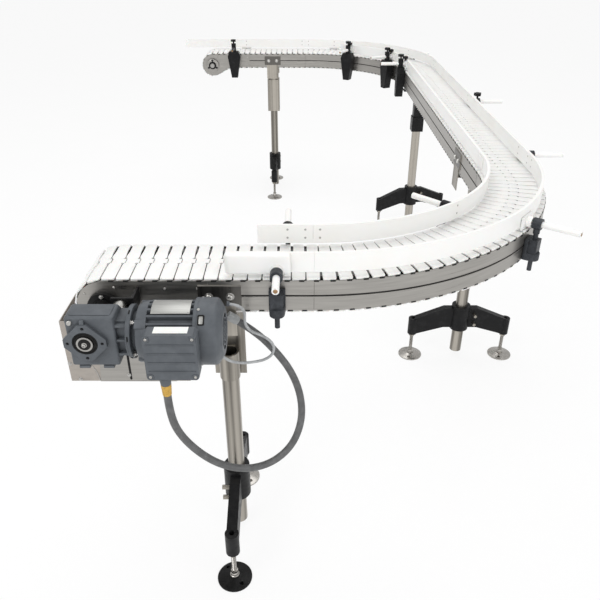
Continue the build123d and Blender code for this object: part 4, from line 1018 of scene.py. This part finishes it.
def make_fan_cover():
    """Pressed fan cover, smooth outside and barred at its end."""
    start, length, nose, wall = cover_start, 0.068, 0.016, 0.002
    straight = length - nose
    outside = [(0, 0.0838), (0.0015, 0.084), (0.0080, 0.084), (0.0088, 0.0834), (0.0100, 0.0834),
               (0.0108, 0.084), (straight - 0.004, 0.084), (straight, 0.0832), (straight + 0.003, 0.0808),
               (length - 0.003, 0.0642), (length - 0.001, 0.0612), (length, 0.0575), (length, 0.046)]
    inside = [(length - wall, 0.046), (length - wall, 0.060), (straight, 0.0812), (0, 0.0818)]
    mesh = bmesh.new()
    add_ring(mesh, about_motor(start), outside + inside, 96)
    place = about_motor(start + length)
    for radius in (0.012, 0.023, 0.034):
        add_ring(mesh, place, [(-0.0016, radius - 0.0016), (0, radius - 0.0016), (0, radius + 0.0016),
                               (-0.0016, radius + 0.0016)], 64)
    for spoke in range(8):
        turn = place @ Matrix.Rotation(spoke * math.pi / 4, 4, "Z")
        add_box(mesh, turn, (0.004, -0.0014, -0.0019), (0.0462, 0.0014, -0.0003))
    add_turned(mesh, place, [(-0.0018, 0.0055), (0, 0.0055)], 24)
    for end, inward in ((lead_route[0], lead_route[1]), (lead_route[-1], lead_route[-2])):
        run = Matrix.Translation(end) @ aim(Vector(inward) - Vector(end))
        add_turned(mesh, run, [(-0.003, 0.0068), (0.0015, 0.0068), (0.0022, 0.0060), (0.0045, 0.0060)], 24)
    cover = finish_piece(from_bmesh("motor_fan_cover", mesh), "conveyor", "motor_paint")
    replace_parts(cover, "fan_cover")
    mesh = bmesh.new()
    for degrees in (20, 140, 200, 320):
        turn = about_motor(start + 0.012, degrees) @ Matrix.Translation((0.0840, 0, 0))
        add_pan_screw(mesh, turn @ Matrix.Rotation(math.pi / 2, 4, "Y"), 0.0038, 0.0022)
    finish_piece(from_bmesh("cover_screws", mesh), "conveyor", "fastener_steel")


def make_motor_plates():
    """Bare rating plate, window frame, blank label and the lid's screws."""
    mesh = bmesh.new()
    add_arc_plate(mesh, -0.146, -0.052, 0.0784, 0.0792, -26, 17)
    finish_piece(bevelled(from_bmesh("rating_plate", mesh), 0.0002), "conveyor", "plate_metal")
    mesh = bmesh.new()
    for degrees in (-23, 14):
        for x in (-0.1425, -0.0555):
            turn = about_motor(x, -degrees) @ Matrix.Rotation(math.pi, 4, "Z")
            place = turn @ Matrix.Translation((0.0792, 0, 0)) @ Matrix.Rotation(math.pi / 2, 4, "Y")
            add_turned(mesh, place, [(0, 0.0019), (0.0006, 0.0017), (0.0010, 0.0009)], 16)
    finish_piece(from_bmesh("plate_rivets", mesh), "conveyor", "fastener_steel")
    middle = Matrix.Translation((-0.0235, motor_line, shaft_level))
    window = middle @ Matrix.Rotation(math.radians(39.6), 4, "X")
    window = window @ Matrix.Translation((0, 0, 0.0836))
    mesh = bmesh.new()
    outer, inner = rounded(0.0165, 0.0265, 0.0035), rounded(0.0100, 0.0200, 0.0022)
    add_frame(mesh, window, outer, inner, -0.001, 0.0016)
    finish_piece(bevelled(from_bmesh("window_frame", mesh), 0.0004), "conveyor", "black_rubber")
    mesh = bmesh.new()
    add_prism(mesh, window, rounded(0.0096, 0.0196, 0.002), -0.001, 0.0008)
    finish_piece(bevelled(from_bmesh("window_plate", mesh), 0.0002), "conveyor", "plate_metal")
    mesh = bmesh.new()
    place = Matrix.Translation((-0.0865, -0.1075, 1.0274))
    add_prism(mesh, place, rounded(0.080, 0.027, 0.001), 0.0001, 0.0005)
    finish_piece(from_bmesh("blank_label", mesh), "conveyor", "label_white")
    mesh = bmesh.new()
    for x, z in lid_corners:
        add_pan_screw(mesh, front_face(x, lid_face, z), 0.0042, 0.0028)
    screws = finish_piece(bevelled(from_bmesh("lid_screws", mesh), 0.0002), "conveyor", "fastener_steel")
    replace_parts(screws, "terminal_box_screws")
    mesh = bmesh.new()
    boss = [(0, 0.0047), (0.0011, 0.0047), (0.0016, 0.0055), (0.0016, 0.0080), (0, 0.0088)]
    for x, z in lid_corners:
        add_ring(mesh, front_face(x, lid_face, z), boss, 32)
    finish_piece(from_bmesh("lid_bosses", mesh), "conveyor", "motor_paint")


def add_frame(mesh, place, outer, inner, low, high):
    """Picture-frame ring between two outlines of the same number of points."""
    loops = [[mesh.verts.new(place @ Vector((x, y, z))) for x, y in outline]
             for outline, z in ((outer, low), (outer, high), (inner, high), (inner, low))]
    for row, loop in enumerate(loops):
        other = loops[(row + 1) % 4]
        for index in range(len(loop)):
            after = (index + 1) % len(loop)
            mesh.faces.new((loop[index], loop[after], other[after], other[index]))


def add_arc_plate(mesh, start, end, inner, outer, first, last):
    """Curved plate about the motor's axis, its angles measured from the top towards the back."""
    steps = 14
    rows = []
    for radius in (inner, outer):
        for x in (start, end):
            row = []
            for step in range(steps + 1):
                angle = math.radians(first + (last - first) * step / steps)
                row.append(mesh.verts.new((x, motor_line + radius * math.sin(angle),
                                           shaft_level + radius * math.cos(angle))))
            rows.append(row)
    order = (rows[0], rows[1], rows[3], rows[2])
    for side in range(4):
        one, two = order[side], order[(side + 1) % 4]
        for step in range(steps):
            mesh.faces.new((one[step], one[step + 1], two[step + 1], two[step]))
    for step in (0, steps):
        mesh.faces.new([row[step] for row in order])


def make_gland():
    """Grey neck under the terminal box and the yellow collar on the conduit."""
    start = Vector((conduit_route[0][0], conduit_route[0][1], 0.9034))
    down = Matrix.Translation(start) @ Matrix.Rotation(math.pi, 4, "X")
    mesh = bmesh.new()
    add_turned(mesh, down, [(0.0002, 0.0150), (0.003, 0.0150), (0.0045, 0.0148), (0.0200, 0.0140),
                            (0.0285, 0.0132), (0.0330, 0.0126)], 48)
    neck = finish_piece(from_bmesh("gland_neck", mesh), "conveyor", "motor_paint")
    mesh = bmesh.new()
    stations = [(0.0332, 0.0124), (0.0340, 0.0130)]
    for rib in range(6):
        reach = 0.0129 - rib * 0.0003
        at = 0.0347 + rib * 0.0048
        stations += [(at, reach), (at + 0.0035, reach - 0.0001), (at + 0.0040, reach - 0.0006),
                     (at + 0.0046, reach - 0.0006)]
    stations += [(0.0646, 0.0110), (0.0653, 0.0104)]
    add_turned(mesh, down, stations, 48)
    collar = finish_piece(from_bmesh("yellow_collar", mesh), "conveyor", "gland_yellow")
    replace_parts(neck, "conduit_gland")
    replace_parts(collar, "conduit_gland")


def make_torque_bush():
    """Steel-cased bush with its bolt through the black angle."""
    back = Matrix.Translation((-0.245, 0.0254, 0.9944)) @ Matrix.Rotation(-math.pi / 2, 4, "X")
    mesh = bmesh.new()
    add_turned(mesh, back, [(0, 0.0178), (0.0012, 0.019), (0.0285, 0.019), (0.0297, 0.0178)], 64)
    bush = finish_piece(from_bmesh("torque_bush_case", mesh), "conveyor", "bush_steel")
    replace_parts(bush, "torque_bush")
    mesh = bmesh.new()
    add_hex_bolt(mesh, back @ Matrix.Translation((0, 0, 0.0362)), 0.0085, 0.0075)
    spot = Matrix.Translation((-0.2165, 0.088, 0.9994)) @ Matrix.Rotation(-math.pi / 2, 4, "Y")
    add_hex_bolt(mesh, spot, 0.0072, 0.0065)
    finish_piece(bevelled(from_bmesh("torque_arm_bolts", mesh), 0.0003), "conveyor", "fastener_steel")


# Frame, guards, stands and feet


class CONVEYOR_OT_frame_details(bpy.types.Operator):
    """Add the screws of the end plates and bearings, the guards' trims and the cheeks' folds"""

    bl_idname = "conveyor.frame_details"
    bl_label = "Frame Details"

    def execute(self, context):
        make_groove_lines()
        make_end_screws()
        make_guard_trims()
        make_cheek_folds()
        make_stand_screws()
        make_idler_caps()
        return {"FINISHED"}


def add_route_bar(mesh, side, near, far, low, high, start=0.0, end=None):
    """Bar of one section along the route, from a start distance to an end distance."""
    whole = sum(leg_lengths)
    end = whole if end is None else end
    stops = [start, end]
    total = 0.0
    for leg, length in enumerate(leg_lengths):
        count = 36 if leg in (1, 3) else 1
        stops += [total + length * index / count for index in range(count + 1)]
        total += length
    rows = []
    for stop in sorted({round(stop, 6) for stop in stops if start <= stop <= end}):
        place = route_station(stop, 0.0)
        corners = ((near, low), (far, low), (far, high), (near, high))
        rows.append([mesh.verts.new(place @ Vector((0, -side * out, up))) for out, up in corners])
    for row, after in zip(rows, rows[1:]):
        for index in range(4):
            other = (index + 1) % 4
            mesh.faces.new((row[index], row[other], after[other], after[index]))
    mesh.faces.new(list(reversed(rows[0])))
    mesh.faces.new(rows[-1])


def make_groove_lines():
    """Shade in the rails' clamping groove, the turned lip below it and the joints of the rail sections."""
    shades, lips = bmesh.new(), bmesh.new()
    start, end = 0.280, sum(leg_lengths) - 0.20
    for side in (1, -1):
        add_route_bar(shades, side, half_frame - 0.0019, half_frame - 0.0012, groove_level - 0.0012,
                      groove_level + 0.0034, start, end)
        add_route_bar(lips, side, half_frame - 0.0018, half_frame + 0.0006, groove_level - 0.0042,
                      groove_level - 0.0014, start, end)
    finish_piece(from_bmesh("groove_shades", shades), "conveyor", "groove_shade")
    finish_piece(bevelled(from_bmesh("groove_lips", lips), 0.0005), "conveyor", "rail_steel")
    mesh = bmesh.new()
    for leg in (1, 2, 3, 4):
        for side in (1, -1):
            place = station(leg, 0.0, side * (half_frame + 0.0001), (slat_seat + rail_foot) / 2)
            add_box(mesh, place, (-0.0004, -0.0002, -0.040), (0.0004, 0.0002, 0.040))
    finish_piece(from_bmesh("rail_joints", mesh), "conveyor", "groove_shade")


def make_stand_screws():
    """Domed screws with wide washers in the cheeks."""
    washers, caps = bmesh.new(), bmesh.new()
    for leg, distance, sides in stand_places:
        for side in sides:
            for hand in (-1, 1):
                place = facing(leg, distance + hand * 0.028, side, half_frame + 0.0031, groove_level)
                add_turned(washers, place, [(0, 0.0112), (0.0012, 0.0112), (0.0016, 0.0106)], 32)
                add_turned(caps, place, [(0.0017, 0.0086), (0.0058, 0.0086), (0.0078, 0.0074),
                                         (0.0090, 0.0050), (0.0090, 0.0032), (0.0074, 0.0030)], 28)
    finish_piece(from_bmesh("cheek_washers", washers), "conveyor", "fastener_steel")
    finish_piece(from_bmesh("cheek_screws", caps), "conveyor", "bush_steel")


def make_idler_caps():
    """Steel covers over the idler's bearings, with three dark screws and the shaft's end."""
    covers, screws = bmesh.new(), bmesh.new()
    low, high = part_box("flange_bearings")
    reach = (high.z - low.z) / 2 + 0.001
    for side in (1, -1):
        place = facing(4, rear_run, side, half_frame + 0.0132, shaft_level)
        add_turned(covers, place, [(0, reach), (0.0010, reach), (0.0016, reach - 0.001)], 64)
        add_turned(screws, place, [(0.0017, 0.0125), (0.0028, 0.0125), (0.0032, 0.0110)], 32)
        for spot in range(3):
            turn = place @ Matrix.Rotation(math.radians(30 + 120 * spot), 4, "Z")
            seat = turn @ Matrix.Translation((bearing_bolt_circle, 0, 0.0016))
            add_hex_bolt(screws, seat, 0.0052, 0.0050)
    finish_piece(from_bmesh("idler_bearing_covers", covers), "conveyor", "rail_steel")
    finish_piece(from_bmesh("idler_bearing_screws", screws), "conveyor", "dark_screw")


def make_end_screws():
    small, bolts = bmesh.new(), bmesh.new()
    for leg, distance, heading in ((0, 0.0, 1), (4, rear_run, -1)):
        for side in (1, -1):
            for along, height in ((0.0322, 1.0153), (-0.0474, 0.9963), (0.0322, 0.918), (0.165, 1.012),
                                  (0.165, 0.966), (0.250, 1.012), (0.250, 0.966)):
                place = facing(leg, distance + heading * along, side, half_frame, height)
                add_pan_screw(small, place, 0.0034, 0.0022)
            for spot in range(3):
                angle = math.radians(90 + 120 * spot)
                place = facing(leg, distance + bearing_bolt_circle * math.cos(angle), side,
                               half_frame + 0.0131, shaft_level + bearing_bolt_circle * math.sin(angle))
                add_hex_bolt(bolts, place, 0.0042, 0.0045)
    finish_piece(bevelled(from_bmesh("end_plate_screws", small), 0.0002), "conveyor", "fastener_steel")
    finish_piece(bevelled(from_bmesh("bearing_bolts", bolts), 0.0003), "conveyor", "fastener_steel")


def make_guard_trims():
    """Folded edges, a dark sheet of painted shade for a bolted slot, and small bolts on the guards below the
    drive.
    """
    trough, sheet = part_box("drive_guard_trough"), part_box("drive_guard_sheet")
    mesh = bmesh.new()
    for x, y, z in ((-0.4107, trough[0].y, 0.7190), (-0.4320, trough[0].y, 0.7724),
                    (-0.2709, sheet[0].y, 0.7350), (-0.2614, sheet[0].y, 0.8980),
                    (-0.1250, sheet[0].y, 0.8980)):
        add_hex_bolt(mesh, front_face(x, y - 0.0001, z), 0.0040, 0.0042)
    finish_piece(bevelled(from_bmesh("guard_bolts", mesh), 0.0003), "conveyor", "fastener_steel")
    mesh = bmesh.new()
    left, right = [], []
    for step in range(17):
        share = step / 16
        x = -0.3762 - 0.004 + 0.024 * share + 0.006 * math.sin(math.pi * share)
        z = 0.7801 - 0.0660 * share
        left.append((x - 0.0011, z))
        right.append((x + 0.0011, z))
    add_prism(mesh, front_face(0, trough[0].y, 0), left + right[::-1], 0.0001, 0.0016)
    finish_piece(bevelled(from_bmesh("trough_bead", mesh), 0.0005), "conveyor", "fastener_steel")
    # Painted shade: a thin black sheet stands for the shade in the guard's slot.
    mesh = bmesh.new()
    slot = [(-0.2664 + x, 0.765 + y) for x, y in rounded(0.0062, 0.092, 0.0030)]
    add_prism(mesh, front_face(0, sheet[0].y, 0), slot, 0.0001, 0.0006)
    finish_piece(from_bmesh("guard_slot_shade", mesh), "conveyor", "black_rubber")


def make_cheek_folds():
    """Bright folded edge along the top of each steel cheek, and a thin darker steel sheet on each cheek's
    face as a painted reflection.
    """
    mesh, faces = bmesh.new(), bmesh.new()
    for leg, distance, sides in stand_places:
        for side in sides:
            place = station(leg, distance, side * (half_frame + 0.0015), 1.0201)
            add_box(mesh, place, (-0.0565, -0.0016, 0), (0.0565, 0.0016, 0.0016))
            # Painted reflection: a thin darker steel sheet over the upper face of each cheek.
            face = facing(leg, distance, side, half_frame + 0.0030, 0.9905)
            add_prism(faces, face, rounded(0.1136, 0.0586, 0.002), 0.0001, 0.0006)
    finish_piece(bevelled(from_bmesh("cheek_folds", mesh), 0.0005, 3), "conveyor", "rail_steel")
    finish_piece(from_bmesh("cheek_reflection_sheets", faces), "conveyor", "cheek_steel")


class CONVEYOR_OT_feet(bpy.types.Operator):
    """Add the levelling feet with their drilled discs and threaded spindles"""

    bl_idname = "conveyor.feet"
    bl_label = "Feet"

    def execute(self, context):
        disc, spindle = foot_disc(), foot_spindle()
        for stand in ("drive", "bend", "middle", "idler"):
            for word in ("outer", "inner"):
                node = f"{stand}_stand_foot_{word}"
                low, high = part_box(node)
                place = Matrix.Translation(((low.x + high.x) / 2, (low.y + high.y) / 2, 0))
                turn = place @ Matrix.Rotation(0.4 + len(stand), 4, "Z")
                slot = "foot_black" if node == "drive_stand_foot_outer" else "foot_steel"
                for name, data, look in (("disc", disc, slot), ("spindle", spindle, "foot_steel")):
                    made = data.copy()
                    made.transform(turn)
                    piece = finish_piece(new_piece(f"{node}_{name}", made), node, look)
                    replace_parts(piece, node)
        bpy.data.meshes.remove(disc)
        bpy.data.meshes.remove(spindle)
        return {"FINISHED"}


def foot_disc():
    """Domed disc with two fixing holes."""
    mesh = bmesh.new()
    stations = [(0.0001, 0.0548), (0.0008, 0.0558), (0.0046, 0.0559), (0.0060, 0.0550), (0.0070, 0.0520),
                (0.0098, 0.0400), (0.0130, 0.0290), (0.0152, 0.0215), (0.0160, 0.0195), (0.0160, 0.0160)]
    add_turned(mesh, Matrix.Identity(4), stations, 64)
    disc = from_bmesh("foot_disc", mesh)
    mesh = bmesh.new()
    for side in (-1, 1):
        add_turned(mesh, Matrix.Translation((side * 0.039, 0, 0.0012)), [(0, 0.0062), (0.03, 0.0062)], 24)
    drill = from_bmesh("foot_drill", mesh)
    cut = disc.modifiers.new("holes", "BOOLEAN")
    cut.object, cut.operation, cut.solver = drill, "DIFFERENCE", "EXACT"
    data = apply_modifiers(disc).data.copy()
    bpy.data.objects.remove(drill)
    bpy.data.objects.remove(disc)
    return data


def foot_spindle():
    """Ball, hexagon and threaded spindle."""
    mesh = bmesh.new()
    add_turned(mesh, Matrix.Identity(4), [(0.0163, 0.0148), (0.0190, 0.0150), (0.0205, 0.0128),
                                          (0.0240, 0.0129), (0.0285, 0.0112), (0.0300, 0.0090)], 32)
    add_turned(mesh, Matrix.Identity(4), [(0.0300, 0.0095), (0.0306, 0.0122), (0.0392, 0.0122),
                                          (0.0398, 0.0100)], 6)
    stations = [(0.0398, 0.0066)]
    while stations[-1][0] < 0.1820:
        at = stations[-1][0]
        stations += [(at + 0.0009, 0.0079), (at + 0.0012, 0.0079), (at + 0.0020, 0.0067)]
    stations += [(0.1846, 0.0058)]
    add_turned(mesh, Matrix.Identity(4), stations, 24)
    spindle = from_bmesh("foot_spindle", mesh)
    data = spindle.data.copy()
    bpy.data.objects.remove(spindle)
    return data


class CONVEYOR_OT_finishes(bpy.types.Operator):
    """Give every frame node its finish"""

    bl_idname = "conveyor.finishes"
    bl_label = "Finishes"

    def execute(self, context):
        finishes.update(make_materials())
        dress_nodes()
        return {"FINISHED"}


class CONVEYOR_PT_panel(bpy.types.Panel):
    """The conveyor's pieces"""

    bl_idname = "CONVEYOR_PT_panel"
    bl_label = "Conveyor"
    bl_space_type = "VIEW_3D"
    bl_region_type = "UI"
    bl_category = "Conveyor"

    def draw(self, context):
        for name in ConveyorSettings.__annotations__:
            self.layout.prop(context.scene.conveyor, name)
        for operator in operators:
            self.layout.operator(operator.bl_idname)


operators = (CONVEYOR_OT_camera, CONVEYOR_OT_finishes, CONVEYOR_OT_cords, CONVEYOR_OT_chain,
             CONVEYOR_OT_guides,
             CONVEYOR_OT_gearmotor, CONVEYOR_OT_frame_details, CONVEYOR_OT_feet, CONVEYOR_OT_stage)
classes = (ConveyorSettings, *operators, CONVEYOR_PT_panel)


def register():
    for item in classes:
        bpy.utils.register_class(item)
    bpy.types.Scene.conveyor = bpy.props.PointerProperty(type=ConveyorSettings)


def unregister():
    del bpy.types.Scene.conveyor
    for item in reversed(classes):
        bpy.utils.unregister_class(item)


def main():
    """Register the add-on and build every piece in order."""
    register()
    for operator in operators:
        group, name = operator.bl_idname.split(".")
        getattr(getattr(bpy.ops, group), name)()


if __name__ == "__main__":
    main()
